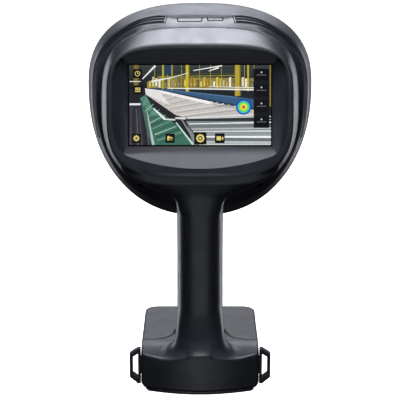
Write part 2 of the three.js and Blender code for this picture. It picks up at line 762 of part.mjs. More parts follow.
function buildPowerCable() {
  const route = new THREE.CatmullRomCurve3(
    [
      [0, -14, 27.2],
      [0, -30, 40],
      [0, -38, 70],
      [0, -38, 120],
      [0, -34, 150],
      [0, -24, 172],
      [0, -20, 182],
    ].map((p) => new THREE.Vector3(...p)),
  );
  const section = new THREE.Shape();
  section.absarc(0, 0, 2.2, 0, 2 * Math.PI);
  const cable = new THREE.ExtrudeGeometry(section, { steps: 24, extrudePath: route, curveSegments: 4 });
  add("power_cable", solidOf(cable), rubber);
}

function buildContactBlock() {
  const block = join(box([-13, -10, 9], [13, 8, 21]), box([-15.4, -11, 6], [15.4, -5, 21.7]));
  const slots = [-9, -3, 3, 9].map((x) => box([x - 0.9, -2, 10.6], [x + 0.9, 9, 19.4]));
  add("contact_block", cut(block, ...slots), black);
}

// ---------------------------------------------------------------- battery

function roundedPlan(inset) {
  const side = BASE_HALF - inset;
  const far = BASE_FAR - inset;
  const near = FOOT_SEAM - 4;
  const radius = 11 - inset;
  const plan = new THREE.Shape();
  plan.moveTo(-side, near);
  plan.lineTo(side, near);
  plan.lineTo(side, far - radius);
  plan.quadraticCurveTo(side, far, side - radius, far);
  plan.lineTo(-side + radius, far);
  plan.quadraticCurveTo(-side, far, -side, far - radius);
  return plan;
}
const batteryRing = ([z, inset]) =>
  roundedPlan(inset).getPoints(6).map((p) => new THREE.Vector3(p.x, p.y, z));
const batteryBlock = (...levels) => loft(levels.map(batteryRing));

const BATTERY_SPLIT = 17;
const RELEASE = { half: 11, low: 25.4, high: 32.4 };

function buildBattery() {
  const notch = footBlock([-1, -GAP - 0.1], [BASE_HEIGHT + 2, -GAP - 0.1]);
  const wholeNotch = join(notch, box([-60, -80, -1], [60, FOOT_SEAM - 1, 50]));
  const tonguePocket = box([-13.4, -10, 8.6], [13.4, 8.4, 21.4]);
  const walls = (low, high, floorInset) => batteryBlock([low, floorInset], [high, floorInset]);
  const inner = cut(walls(2.6, BASE_HEIGHT - 2.8, 2.8), footBlock([0, -3.2], [40, -3.2]),
    box([-60, -80, -1], [60, FOOT_SEAM + 2.4, 50]));
  const button = box(
    [-RELEASE.half - GAP, 50, RELEASE.low - GAP],
    [RELEASE.half + GAP, 70, RELEASE.high + GAP],
  );
  const upper = cut(
    batteryBlock(
      [BATTERY_SPLIT + GAP, 0],
      [BASE_HEIGHT - 2.2, 0],
      [BASE_HEIGHT - 0.6, 0.7],
      [BASE_HEIGHT, 2.4],
    ),
    wholeNotch,
    inner,
    tonguePocket,
    button,
  );
  const lower = cut(
    batteryBlock([0, 3.2], [CHAMFER, 0], [BATTERY_SPLIT, 0]),
    wholeNotch,
    inner,
    tonguePocket,
  );
  const springSeat = box([-5, 45.6, 26], [5, 47.2, BASE_HEIGHT - 1]);
  add("battery_upper_case", join(upper, springSeat), charcoal);
  add("battery_lower_case", lower, charcoal);
  [0, 1].forEach((i) => {
    const cell = rod(new THREE.Vector3(-35, 24.9 + 21.4 * i, 13.6), new THREE.Vector3(1, 0, 0), 10.5, 70, 20);
    add(`battery_cell_${i + 1}`, cell, cellWrap);
  });
  add("battery_board", box([-38, 16.4, 27.6], [38, 44.6, 29.2]), board);
  const blades = [-9, -3, 3, 9].map((x) => box([x - 0.5, 0, 11.4], [x + 0.5, 11, 18.6]));
  add("battery_terminal", join(box([-12, 10, 9], [12, 12, 21]), ...blades), gold);
  const press = join(
    box([-RELEASE.half, 54, RELEASE.low], [RELEASE.half, BASE_FAR, RELEASE.high]),
    box([-RELEASE.half - 1.6, 53, RELEASE.low - 0.7], [RELEASE.half + 1.6, 56.8, RELEASE.high + 0.5]),
  );
  add("release_button", press, black);
  add("release_spring", spring(2, 5, 4), steel).position.set(0, 47.6, 29);
}

// ---------------------------------------------------------------- assembly

buildRearHousing();
buildGripFrontCover();
buildBasePlate();
buildStrapLoops();
buildFrontHousing();
buildRearShell();
buildGrilles();
buildHeadScrews();
buildFlaps();
buildPorts();
buildFrontPlate();
buildCamera();
buildLamps();
buildChassis();
buildDisplay();
buildTrigger();
buildPowerCable();
buildContactBlock();
buildBattery();

export default scanner;
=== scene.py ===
import functools
import math

import bpy
import numpy as np
from mathutils import Matrix, Vector
from mathutils.bvhtree import BVHTree
from mathutils.geometry import delaunay_2d_cdt


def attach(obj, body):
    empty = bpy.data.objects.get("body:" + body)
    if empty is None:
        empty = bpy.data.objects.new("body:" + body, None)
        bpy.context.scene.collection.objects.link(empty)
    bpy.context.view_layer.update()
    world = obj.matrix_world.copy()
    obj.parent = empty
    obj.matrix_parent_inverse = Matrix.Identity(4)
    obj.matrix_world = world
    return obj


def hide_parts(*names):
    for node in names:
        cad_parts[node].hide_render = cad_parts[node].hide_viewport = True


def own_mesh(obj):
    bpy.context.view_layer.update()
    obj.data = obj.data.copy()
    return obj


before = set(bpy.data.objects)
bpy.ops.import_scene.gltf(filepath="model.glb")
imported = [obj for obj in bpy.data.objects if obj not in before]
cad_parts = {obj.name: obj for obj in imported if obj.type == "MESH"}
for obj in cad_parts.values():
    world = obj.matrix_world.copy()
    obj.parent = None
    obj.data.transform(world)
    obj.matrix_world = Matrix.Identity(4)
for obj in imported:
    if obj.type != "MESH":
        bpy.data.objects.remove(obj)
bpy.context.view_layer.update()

# Lengths are in millimetres until a mesh is made, and match the CAD's own driving dimensions.
MM = 0.001
DETAIL = 1.0

# ---------- driving dimensions

GAP = 0.3
WALL = 2.6
TILT = math.radians(76)
SCREEN_Y, SCREEN_Z = -33.0, 230.7
RIM_W = 7.0
ROOT_W = -7.0
HEAD_SEAM = -3.0
GRIP_SPLIT = -28.0
BASE_HALF = 47.6
BASE_FAR = 60.0
BASE_HEIGHT = 36.0
FOOT_SEAM = -29.6
CHAMFER = 5.5
PLATE_THICK = 2.4
BATTERY_SPLIT = 17.0
BASE_SCREWS = ((36, -40), (13.5, -21))
LENS_Z = 214.0
POWER_Z, POWER_RADIUS = 80.0, 5.0
GLASS_HALF, GLASS_TALL = 58.6, 34.6
LCD_HALF, LCD_TALL = 57.3, 33.3
PICTURE_WIDE, PICTURE_TALL = 110.7, 62.3

# half width, middle height, height above, height below, and the power of each half
HEAD = (91.7, 235.0, 68.0, 108.0, 2.5, 2.2)
SEAM = (86.9, 235.0, 61.6, 101.5, 2.75, 2.2)
ROOT = (77.2, 0.0, 61.8, 68.4, 3.3, 2.65)
SEAM_STEP = 0.4
SEAM_RISE = 2.8
SEAM_GAP = 0.06
BOWL_BULGE = 1.2
BOWL_GROOVE = 5.0
BOWL_WALL = 2.4


# ---------- distance fields


def either(a, b, soften=0.5):
    """Both solids together, with a fillet where they meet."""
    near = np.maximum(soften - np.abs(a - b), 0)
    return np.minimum(a, b) - near * near / (4 * soften)


def both(a, b, soften=0.5):
    """What two solids share, with its edges rounded."""
    return -either(-a, -b, soften)


def without(a, b, soften=0.5):
    return -either(-a, b, soften)


def slab(along, low, high):
    return np.maximum(low - along, along - high)


def block(x, y, z, low, high, radius=0.4):
    """A box with rounded edges."""
    sides = [
        np.abs(p - (l + h) / 2) - (h - l) / 2 + radius
        for p, l, h in zip((x, y, z), low, high)
    ]
    out = functools.reduce(np.add, [np.maximum(s, 0) ** 2 for s in sides])
    return np.sqrt(out) + np.minimum(functools.reduce(np.maximum, sides), 0) - radius


class Tube:
    """A solid with egg-shaped sections that change along an axis."""

    STEP = 0.25

    def __init__(self, rows, blur=1.0):
        rows = np.array(rows, float)
        self.at = np.arange(rows[0, 0] - 12, rows[-1, 0] + 12, self.STEP)
        half_window = max(1, round(blur / self.STEP))
        window = np.hanning(2 * half_window + 3)[1:-1]
        window /= window.sum()
        pad = len(window) // 2
        columns = [np.interp(self.at, rows[:, 0], rows[:, i]) for i in range(1, 7)]
        columns = [np.convolve(np.pad(c, pad, "edge"), window, "valid") for c in columns]
        self.table = columns + [np.gradient(c, self.STEP) for c in columns[:4]]

    def __call__(self, across, up, along, inset=0.0):
        values = [np.interp(along, self.at, row) for row in self.table]
        half, middle, above, below, power_up, power_down, d_half, d_middle, d_above, d_below = values
        side = up - middle
        high = side > 0
        tall = np.where(high, above, below) - inset
        power = np.where(high, power_up, power_down)
        half = half - inset
        a = np.abs(across) / half + 1e-6
        b = np.abs(side) / tall + 1e-6
        a_power = a**power
        b_power = b**power
        total = a_power + b_power
        r = total ** (1 / power)
        slope_up = np.where(high, d_above, d_below)
        slope = np.sign(side) * d_middle + b * slope_up
        along_axis = a_power * d_half + b_power / b * slope * half / tall
        gradient = (a_power / a / half) ** 2 + (b_power / b / tall) ** 2 + (along_axis / half) ** 2
        return (r - 1) / (r / total * np.sqrt(gradient))


class Plan:
    """The distance to a flat outline, looked up in a table."""

    STEP = 0.25
    MARGIN = 8.0

    def __init__(self, outline):
        points = np.array(outline, float)
        self.low = points.min(0) - self.MARGIN
        size = ((points.max(0) + self.MARGIN - self.low) / self.STEP).astype(int) + 2
        x = (self.low[0] + self.STEP * np.arange(size[0]))[:, None]
        y = (self.low[1] + self.STEP * np.arange(size[1]))[None, :]
        nearest = np.full(tuple(size), np.inf)
        inside = np.zeros(tuple(size), bool)
        for (x0, y0), (x1, y1) in zip(points, np.roll(points, -1, 0)):
            dx, dy = x1 - x0, y1 - y0
            share = np.clip(((x - x0) * dx + (y - y0) * dy) / (dx * dx + dy * dy), 0, 1)
            nearest = np.minimum(nearest, (x - x0 - share * dx) ** 2 + (y - y0 - share * dy) ** 2)
            if y0 != y1:
                inside ^= ((y < y0) != (y < y1)) & (x < x0 + (y - y0) * dx / dy)
        self.table = np.where(inside, -1, 1) * np.sqrt(nearest)

    def __call__(self, x, y):
        rows, columns = self.table.shape
        i = np.clip((x - self.low[0]) / self.STEP, 0, rows - 1.001)
        j = np.clip((y - self.low[1]) / self.STEP, 0, columns - 1.001)
        i0, j0 = i.astype(int), j.astype(int)
        di, dj = i - i0, j - j0
        t = self.table
        low = t[i0, j0] * (1 - di) + t[i0 + 1, j0] * di
        high = t[i0, j0 + 1] * (1 - di) + t[i0 + 1, j0 + 1] * di
        return low * (1 - dj) + high * dj


def bezier(*points, count=8):
    """Points along a curve, without its first."""
    result = []
    for t in np.arange(1, count + 1) / count:
        row = [np.array(p, float) for p in points]
        while len(row) > 1:
            row = [a + (b - a) * t for a, b in zip(row, row[1:])]
        result.append(tuple(row[0]))
    return result


CORNERS = np.array([(i, j, k) for i in (0, 1) for j in (0, 1) for k in (0, 1)])
EDGES = [(a, b) for a in range(8) for b in range(a) if np.abs(CORNERS[a] - CORNERS[b]).sum() == 1]


def surface_of(field, low, high, cell):
    """The surface where a field is zero, as points and four-sided faces."""
    axes = [np.arange(l - 1.5 * cell, h + 2.5 * cell, cell) for l, h in zip(low, high)]
    grid = np.meshgrid(*[a.astype(np.float32) for a in axes], indexing="ij", sparse=True)
    values = field(*grid).astype(np.float32)
    inside = values < 0
    shape = np.array(values.shape) - 1
    corner_views = [inside[tuple(slice(c, c + n) for c, n in zip(corner, shape))] for corner in CORNERS]
    count = np.sum(corner_views, axis=0, dtype=np.uint8)
    cells = np.argwhere((count > 0) & (count < 8))
    number = np.full(tuple(shape), -1, np.int64)
    number[tuple(cells.T)] = np.arange(len(cells))
    corner_values = [values[tuple((cells + corner).T)] for corner in CORNERS]
    total = np.zeros((len(cells), 3))
    crossings = np.zeros(len(cells))
    for a, b in EDGES:
        cross = (corner_values[a] < 0) != (corner_values[b] < 0)
        share = np.where(cross, corner_values[a] / (corner_values[a] - corner_values[b] + 1e-20), 0)
        total += np.where(cross[:, None], CORNERS[a] + share[:, None] * (CORNERS[b] - CORNERS[a]), 0)
        crossings += cross
    start = np.array([a[0] for a in axes])
    points = start + (cells + total / crossings[:, None]) * cell
    faces = []
    units = np.eye(3, dtype=int)
    for axis in range(3):
        step, u, v = units[[axis, (axis + 1) % 3, (axis + 2) % 3]]
        here = inside[tuple(slice(0, n) for n in np.array(inside.shape) - step)]
        there = inside[tuple(slice(s, None) for s in step)]
        at = np.argwhere(here != there)
        solid_here = here[tuple(at.T)]
        quad = np.stack([number[tuple((at - d).T)] for d in (u + v, v, 0 * u, u)], axis=1)
        quad[~solid_here] = quad[~solid_here][:, ::-1]
        faces.append(quad)
    return points, np.concatenate(faces)


def settle(points, faces, field, cell, rounds=3):
    """Evens the points out and moves them onto the surface."""
    reach = 0.02
    ends = np.concatenate([faces[:, [i, (i + 1) % 4]] for i in range(4)])
    links = np.bincount(ends[:, 0], minlength=len(points))
    for _ in range(rounds):
        sums = [np.bincount(ends[:, 0], column[ends[:, 1]], len(points)) for column in points.T]
        points = points + 0.5 * (np.stack(sums, 1) / np.maximum(links, 1)[:, None] - points)
        for _ in range(2):
            value = field(*points.T)
            slope = np.stack([field(*(points + reach * e).T) - value for e in np.eye(3)], 1) / reach
            move = value[:, None] * slope / np.maximum((slope**2).sum(1), 0.05)[:, None]
            size = np.linalg.norm(move, axis=1, keepdims=True)
            points = points - move * np.minimum(1, 0.5 * cell / np.maximum(size, 1e-9))
    return points


# ---------- pieces


def linked(name, data):
    """A new object in the scene."""
    obj = bpy.data.objects.new(name, data)
    bpy.context.scene.collection.objects.link(obj)
    return obj


def smoothed(mesh, sharp=None):
    """Smooth faces, with sharp edges above an angle in degrees."""
    mesh.polygons.foreach_set("use_smooth", np.ones(len(mesh.polygons), bool))
    if sharp is not None:
        mesh.set_sharp_from_angle(angle=math.radians(sharp))


def mesh_object(name, points, faces, sharp=None):
    mesh = bpy.data.meshes.new(name)
    mesh.from_pydata((np.asarray(points, float) * MM).tolist(), [], [list(map(int, f)) for f in faces])
    mesh.validate()
    smoothed(mesh, sharp)
    return linked(name, mesh)


def make_outward(obj):
    """Turns the faces round if the solid is inside out."""
    mesh = obj.data
    mesh.calc_loop_triangles()
    points = np.array([v.co for v in mesh.vertices])
    a, b, c = points[np.array([t.vertices for t in mesh.loop_triangles])].transpose(1, 0, 2)
    if (a * np.cross(b, c)).sum() < 0:
        mesh.flip_normals()


def stacked(name, rings, sharp=None):
    """A solid skinned over rings that have the same number of points, with flat ends."""
    rows, count = len(rings), len(rings[0])
    faces = [
        (r * count + c, r * count + (c + 1) % count, (r + 1) * count + (c + 1) % count, (r + 1) * count + c)
        for r in range(rows - 1)
        for c in range(count)
    ]
    faces += [tuple(range(count - 1, -1, -1)), tuple(range((rows - 1) * count, rows * count))]
    obj = mesh_object(name, np.concatenate(rings), faces, sharp)
    make_outward(obj)
    return obj


def rectangle(x0, y0, x1, y1):
    return [(x0, y0), (x1, y0), (x1, y1), (x0, y1)]


def circle(x, y, radius, count):
    turn = np.arange(count) * 2 * math.pi / count
    return [(x + radius * math.cos(t), y + radius * math.sin(t)) for t in turn]


def rounded_rectangle(low, high, radius, count=6):
    quarter = np.linspace(0, math.pi / 2, count)
    corners = rectangle(low[0] + radius, low[1] + radius, high[0] - radius, high[1] - radius)
    points = []
    for k in range(4):
        turn = quarter + k * math.pi / 2
        x, y = corners[(k + 2) % 4]
        points.append(np.stack([x + radius * np.cos(turn), y + radius * np.sin(turn)], -1))
    return np.concatenate(points)


def prism(outline, place, low, high):
    """A closed block between two copies of an outline."""
    return stacked("prism_tool", [place(*outline.T, level) for level in (low, high)])


def upright_plane(x, z, y):
    return np.stack(np.broadcast_arrays(x, y, z), -1)


def tool_rod(centre, radius, near, far, sides=48):
    """A closed cylinder along Y."""
    return prism(np.array(circle(*centre, radius, sides)), upright_plane, near, far)


def finish_piece(obj, body, finish, *nodes):
    """Gives a piece its material and its body, and hides the CAD nodes that it stands for."""
    material, slot = finish
    obj.data.materials.clear()
    obj.data.materials.append(material)
    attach(obj, body)
    if nodes:
        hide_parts(*nodes)
    return obj


def moulded(name, field, low, high, cell):
    cell *= DETAIL
    points, faces = surface_of(field, low, high, cell)
    return mesh_object(name, settle(points, faces, field, cell), faces)


def applied(obj, **kinds):
    """Adds modifiers and applies them in order."""
    for kind, settings in kinds.items():
        modifier = obj.modifiers.new(kind, kind)
        for key, value in settings.items():
            setattr(modifier, key, value)
    bpy.context.view_layer.update()
    graph = bpy.context.evaluated_depsgraph_get()
    mesh = bpy.data.meshes.new_from_object(obj.evaluated_get(graph))
    obj.modifiers.clear()
    obj.data = mesh


def boolean(obj, tool, operation="DIFFERENCE"):
    settings = {"object": tool, "operation": operation, "solver": "EXACT"}
    applied(obj, BOOLEAN=settings, WELD={"merge_threshold": 0.008 * MM})
    bpy.data.objects.remove(tool)


def bevelled(obj, width, angle=35, segments=2):
    smoothed(obj.data)
    limit = {"limit_method": "ANGLE", "angle_limit": math.radians(angle)}
    applied(obj, BEVEL={"width": width * MM, "segments": segments, **limit})
    smoothed(obj.data, 40)


def shell(outer, inner, keep, closed=True):
    """Points and faces of a wall between two grids of points, where keep is true."""
    rows, columns = outer.shape[:2]
    points = np.concatenate([outer.reshape(-1, 3), inner.reshape(-1, 3)])
    layer = rows * columns
    faces = []

    def index(r, c):
        return r * columns + c % columns

    def kept(r, c):
        if closed:
            c %= columns
        return 0 <= r < keep.shape[0] and 0 <= c < keep.shape[1] and keep[r, c]

    for r in range(keep.shape[0]):
        for c in range(keep.shape[1]):
            if not keep[r, c]:
                continue
            a, b, d, e = index(r, c), index(r, c + 1), index(r + 1, c + 1), index(r + 1, c)
            faces.append((a, b, d, e))
            faces.append((a + layer, e + layer, d + layer, b + layer))
            neighbours = ((a, b, r - 1, c), (b, d, r, c + 1), (d, e, r + 1, c), (e, a, r, c - 1))
            for start, end, *neighbour in neighbours:
                if not kept(*neighbour):
                    faces.append((end, start, start + layer, end + layer))
    used = np.unique(np.concatenate([np.array(f) for f in faces]))
    renumber = np.full(len(points), -1)
    renumber[used] = np.arange(len(used))
    return points[used], [tuple(int(renumber[i]) for i in f) for f in faces]


def lathe(name, profile, centre, sides):
    """A turned piece about the Y axis. Profile is radius and y, and closes on itself."""
    radius, y = np.array(profile, float).T
    turn = np.arange(sides) * 2 * math.pi / sides
    across = centre[0] + radius[:, None] * np.cos(turn)
    up = centre[1] + radius[:, None] * np.sin(turn)
    points = np.stack(np.broadcast_arrays(across, y[:, None], up), -1)
    faces = []
    for r in range(len(profile)):
        after = (r + 1) % len(profile)
        if radius[r] or radius[after]:
            for c in range(sides):
                right = (c + 1) % sides
                a, b = r * sides, after * sides
                faces.append((a + c, b + c, b + right, a + right))
    obj = mesh_object(name, points.reshape(-1, 3), faces)
    applied(obj, WELD={"merge_threshold": 1e-6})
    smoothed(obj.data, 32)
    return obj


# ---------- materials


def linear(colour):
    """A hex colour as linear red, green, blue and alpha."""
    channels = [int(colour[i : i + 2], 16) / 255 for i in (1, 3, 5)]
    return [c / 12.92 if c <= 0.04045 else ((c + 0.055) / 1.055) ** 2.4 for c in channels] + [1.0]


class Nodes:
    """A material's node tree, with a short way to add and link nodes."""

    def __init__(self, name):
        self.material = bpy.data.materials.new(name)
        self.material.use_nodes = True
        self.tree = self.material.node_tree
        self.shader = self.tree.nodes["Principled BSDF"]
        self.place = self.add("TexCoord").outputs["Object"]

    def add(self, kind, inputs=None, **settings):
        node = self.tree.nodes.new(f"ShaderNode{kind}")
        for key, value in settings.items():
            setattr(node, key, value)
        for key, value in (inputs or {}).items():
            self.feed(node.inputs[key], value)
        return node

    def feed(self, socket, value):
        """Links a socket to another, or gives it a plain value."""
        if isinstance(value, bpy.types.NodeSocket):
            self.tree.links.new(value, socket)
        else:
            socket.default_value = value

    def set(self, **inputs):
        for key, value in inputs.items():
            self.feed(self.shader.inputs[key.replace("_", " ")], value)

    def noise(self, scale, detail=2.0, roughness=0.5):
        inputs = {"Vector": self.place, "Scale": scale, "Detail": detail, "Roughness": roughness}
        return self.add("TexNoise", inputs).outputs["Fac"]

    def ramp(self, factor, *stops):
        node = self.add("ValToRGB", {"Fac": factor})
        ramp = node.color_ramp
        while len(ramp.elements) < len(stops):
            ramp.elements.new(0.5)
        for element, (position, colour) in zip(ramp.elements, stops):
            element.position = position
            element.color = colour if not isinstance(colour, float) else [colour] * 3 + [1]
        return node.outputs["Color"]

    def mix(self, factor, a, b, kind="MIX"):
        inputs = {0: factor, 6: a, 7: b}
        return self.add("Mix", inputs, data_type="RGBA", blend_type=kind).outputs[2]

    def math(self, operation, a, b=0.0):
        return self.add("Math", {0: a, 1: b}, operation=operation).outputs[0]

    def bump(self, height, strength, depth):
        node = self.add("Bump", {"Height": height, "Strength": strength, "Distance": depth})
        self.set(Normal=node.outputs["Normal"])


PLASTIC_IOR = 1.5
GRAIN_DEEP = 0.00006


def moulded_plastic(name, dark, light, roughness, grain=3600.0, strength=0.25, edge_wear_and_highlight=0.35):
    """Moulded plastic: a fine spark-eroded grain, slight tone changes, and lighter edges that stand for wear
    and for a painted edge highlight.
    """
    n = Nodes(name)
    tone = n.ramp(n.noise(35, 3), (0.35, linear(dark)), (0.7, linear(light)))
    edge = n.ramp(n.add("NewGeometry").outputs["Pointiness"], (0.53, 0.0), (0.62, 1.0))
    # Sharp edges are mixed towards a lighter grey: partly wear, partly a painted edge highlight.
    wear_and_highlight = n.math("MULTIPLY", edge, edge_wear_and_highlight)
    n.set(Base_Color=n.mix(wear_and_highlight, tone, linear("#3a3b3f")))
    rough = n.ramp(n.noise(90, 4), (0.3, roughness - 0.04), (0.7, roughness + 0.05))
    n.set(Roughness=n.math("SUBTRACT", rough, n.math("MULTIPLY", edge, 0.06)))
    fine = n.add("TexVoronoi", {"Vector": n.place, "Scale": grain}).outputs["Distance"]
    n.bump(n.math("ADD", fine, n.noise(grain * 0.4, 2)), strength, GRAIN_DEEP)
    n.set(IOR=PLASTIC_IOR)
    return n.material


def metal(name, colour, roughness, scale, stretch=1.0):
    """Bare metal with a fine drawn or rolled grain."""
    n = Nodes(name)
    stretched = n.add("Mapping", {"Vector": n.place, "Scale": (scale, scale, scale * stretch)})
    grain = n.add("TexNoise", {"Vector": stretched.outputs[0], "Scale": 1.0, "Detail": 4.0}).outputs["Fac"]
    light = linear(colour)
    shade = [c * 0.72 for c in light[:3]] + [1]
    n.set(Base_Color=n.ramp(grain, (0.3, shade), (0.7, light)))
    n.set(Roughness=n.ramp(grain, (0.3, roughness), (0.75, roughness + 0.16)))
    n.set(Metallic=1.0)
    n.bump(grain, 0.2, 0.00004)
    return n.material


def dark_glass():
    n = Nodes("cover_glass")
    smear = n.noise(60, 3, 0.6)
    n.set(Base_Color=n.ramp(smear, (0.3, linear("#050608")), (0.8, linear("#0a0b0e"))))
    n.set(Roughness=n.ramp(smear, (0.45, 0.06), (0.8, 0.13)))
    n.set(IOR=1.5)
    return n.material


def smoked_glass():
    n = Nodes("smoked_glass")
    n.set(Base_Color=n.ramp(n.noise(80), (0.3, linear("#262b31")), (0.7, linear("#2e343b"))))
    n.set(Roughness=n.ramp(n.noise(40, 2), (0.4, 0.03), (0.8, 0.06)))
    n.set(Transmission_Weight=0.7, IOR=1.45)
    return n.material


def frosted_lens():
    """A moulded lamp lens that scatters what lies behind it."""
    n = Nodes("frosted_lens")
    n.set(Base_Color=n.ramp(n.noise(90), (0.3, linear("#d9dde0")), (0.7, linear("#e9ecee"))))
    n.set(Roughness=n.ramp(n.noise(200, 3), (0.4, 0.32), (0.8, 0.42)))
    n.set(Transmission_Weight=0.45, IOR=1.49)
    return n.material


def soft_rubber():
    n = Nodes("soft_rubber")
    tone = n.ramp(n.noise(50, 4), (0.3, linear("#141416")), (0.7, linear("#1d1d20")))
    dust = n.ramp(n.noise(300, 5, 0.7), (0.55, 0.0), (0.8, 1.0))
    n.set(Base_Color=n.mix(n.math("MULTIPLY", dust, 0.12), tone, linear("#57575a")))
    n.set(Roughness=n.ramp(n.noise(70, 3), (0.3, 0.62), (0.7, 0.75)))
    n.bump(n.noise(2600, 3), 0.3, 0.00008)
    n.set(Sheen_Weight=0.15, Sheen_Roughness=0.5)
    return n.material


def acoustic_mesh():
    """Woven cloth: two sets of threads at right angles."""
    n = Nodes("acoustic_mesh")
    parts = n.add("SeparateXYZ", {"Vector": n.place})
    waves = [
        n.math("ABSOLUTE", n.math("SINE", n.math("MULTIPLY", parts.outputs[axis], 9000.0)))
        for axis in ("X", "Z")
    ]
    weave = n.math("MULTIPLY", *waves)
    # Near-black threads: partly the cloth's own colour, partly painted shade for the vent slots it sits
    # behind.
    n.set(Base_Color=n.ramp(weave, (0.05, linear("#131315")), (0.6, linear("#040405"))))
    n.set(Roughness=n.ramp(n.noise(400), (0.3, 0.85), (0.7, 0.95)))
    n.set(Sheen_Weight=0.1, Sheen_Roughness=0.4)
    n.bump(weave, 0.5, 0.0001)
    return n.material


def circuit_board():
    """Solder mask with copper traces and pads under it."""
    n = Nodes("circuit_board")
    cells = n.add("TexVoronoi", {"Vector": n.place, "Scale": 260.0}, distance="MANHATTAN", feature="F1")
    traces = n.ramp(cells.outputs["Distance"], (0.44, 0.0), (0.47, 1.0))
    pads = n.ramp(cells.outputs["Distance"], (0.10, 1.0), (0.13, 0.0))
    mask = n.mix(traces, linear("#0b3f26"), linear("#14603a"))
    n.set(Base_Color=n.mix(pads, mask, linear("#b9a25a")))
    n.set(Metallic=n.math("MULTIPLY", pads, 0.9))
    n.set(Roughness=n.ramp(n.noise(150), (0.3, 0.32), (0.7, 0.45)))
    n.bump(traces, 0.3, 0.00005)
    return n.material


def cell_wrap():
    n = Nodes("cell_wrap")
    crease = n.noise(90, 5, 0.6)
    n.set(Base_Color=n.ramp(crease, (0.3, linear("#1f5c96")), (0.7, linear("#2f7abb"))))
    n.set(Roughness=n.ramp(crease, (0.3, 0.28), (0.7, 0.42)))
    n.bump(crease, 0.3, 0.0002)
    return n.material


def lit_picture():
    """The display's picture: each face's own colour, lit from behind through fine pixels."""
    n = Nodes("lit_picture")
    colour = n.add("VertexColor", layer_name="picture").outputs["Color"]
    grain = n.ramp(n.noise(700, 2), (0.3, 0.9), (0.7, 1.06))
    n.set(Base_Color=n.mix(n.noise(500), linear("#050506"), linear("#0b0b0d")))
    n.set(Emission_Color=n.mix(1.0, colour, grain, "MULTIPLY"), Emission_Strength=1.0)
    n.set(Roughness=n.ramp(n.noise(60, 3), (0.4, 0.12), (0.8, 0.2)))
    return n.material


CHARCOAL = moulded_plastic("charcoal_shell", "#17191e", "#1c1e24", 0.38)
BLACK = moulded_plastic("black_plastic", "#0b0b0d", "#111114", 0.42, 2600.0, 0.35)
MATTE_BLACK = moulded_plastic("matte_black", "#050506", "#08080a", 0.7, 2200.0, 0.3, 0.05)
RUBBER = soft_rubber()
DARK_GLASS = dark_glass()
SMOKED_GLASS = smoked_glass()
LAMP_LENS = frosted_lens()
CLOTH = acoustic_mesh()
BOARD = circuit_board()
STEEL = metal("brushed_steel", "#b9bbbe", 0.26, 900.0, 0.1)
ALUMINIUM = metal("cast_aluminium", "#a6a9ad", 0.4, 500.0)
CONTACTS = metal("gold_plate", "#cfa450", 0.22, 700.0)
CELL = cell_wrap()
PICTURE = lit_picture()

# A finish is a material and the name of a slot for it.
SHELL_FINISH = (CHARCOAL, "charcoal_shell")
GRILLE_FINISH = (CHARCOAL, "black_plastic")
FLAP_FINISH = (CHARCOAL, "rubber")
BLACK_FINISH = (BLACK, "black_plastic")
LOOP_FINISH = (MATTE_BLACK, "black_plastic")
BARREL_FINISH = (DARK_GLASS, "black_plastic")
GLASS_FINISH = (DARK_GLASS, "cover_glass")
STEEL_FINISH = (STEEL, "steel")

# ---------- camera, lights, floor

CAMERA_DOWN = math.radians(14)
CAMERA_FAR = 1.1
CAMERA_RISE = 0.0741
CAMERA_LENS, CAMERA_SENSOR = 126.9, 36
VIEW_CENTRE = Vector((0, SCREEN_Y * MM, SCREEN_Z * MM))


def build_camera():
    data = bpy.data.cameras.new("camera")
    data.lens = CAMERA_LENS
    data.sensor_width = CAMERA_SENSOR
    data.clip_end = 100
    camera = linked("camera", data)
    forward = Vector((0, math.cos(CAMERA_DOWN), -math.sin(CAMERA_DOWN)))
    up = Vector((0, math.sin(CAMERA_DOWN), math.cos(CAMERA_DOWN)))
    camera.location = VIEW_CENTRE - CAMERA_FAR * forward - CAMERA_RISE * up
    camera.rotation_euler = (math.pi / 2 - CAMERA_DOWN, 0, 0)
    bpy.context.scene.camera = camera


# name, place, width, height, radiance, in metres; each faces the middle of the object
MIDDLE = Vector((0, 0, 0.2))
LIGHTS = [
    ("top_softbox", (0, -0.12, 1.6), 0.8, 0.78, 18.5),
    ("upper_back_panel", (0, 1.45, 1.25), 1.5, 0.36, 5.8),
    ("back_panel", (0, 1.7, 0.4), 1.1, 0.7, 0.75),
    ("back_left_panel", (-1.28, 1.22, -0.05), 0.72, 1.6, 2.6),
    ("back_right_panel", (1.28, 1.22, -0.05), 0.72, 1.6, 2.5),
    ("low_front_panel", (0, -1.6, -0.45), 1.2, 0.6, 1.0),
    ("high_front_panel", (0, -1.0, 1.35), 0.8, 0.5, 6.0),
]


def build_lights():
    for name, place, width, height, radiance in LIGHTS:
        data = bpy.data.lights.new(name, "AREA")
        data.shape = "RECTANGLE"
        data.size, data.size_y = width, height
        data.energy = radiance * width * height * 4
        data.color = linear("#f2f5ff")[:3]
        light = linked(name, data)
        light.location = place
        light.rotation_euler = (MIDDLE - Vector(place)).to_track_quat("-Z", "Y").to_euler()
        light.visible_camera = False
    world = bpy.data.worlds.new("studio")
    world.use_nodes = True
    tree = world.node_tree
    path = tree.nodes.new("ShaderNodeLightPath")
    mixer = tree.nodes.new("ShaderNodeMixShader")
    dim = tree.nodes["Background"]
    dim.inputs["Color"].default_value = linear("#dfe4ee")
    dim.inputs["Strength"].default_value = 0.03
    plain = tree.nodes.new("ShaderNodeBackground")
    plain.inputs["Color"].default_value = (1, 1, 1, 1)
    tree.links.new(path.outputs["Is Camera Ray"], mixer.inputs[0])
    tree.links.new(dim.outputs[0], mixer.inputs[1])
    tree.links.new(plain.outputs[0], mixer.inputs[2])
    tree.links.new(mixer.outputs[0], tree.nodes["World Output"].inputs["Surface"])
    bpy.context.scene.world = world
    bpy.context.scene.view_settings.view_transform = "Standard"


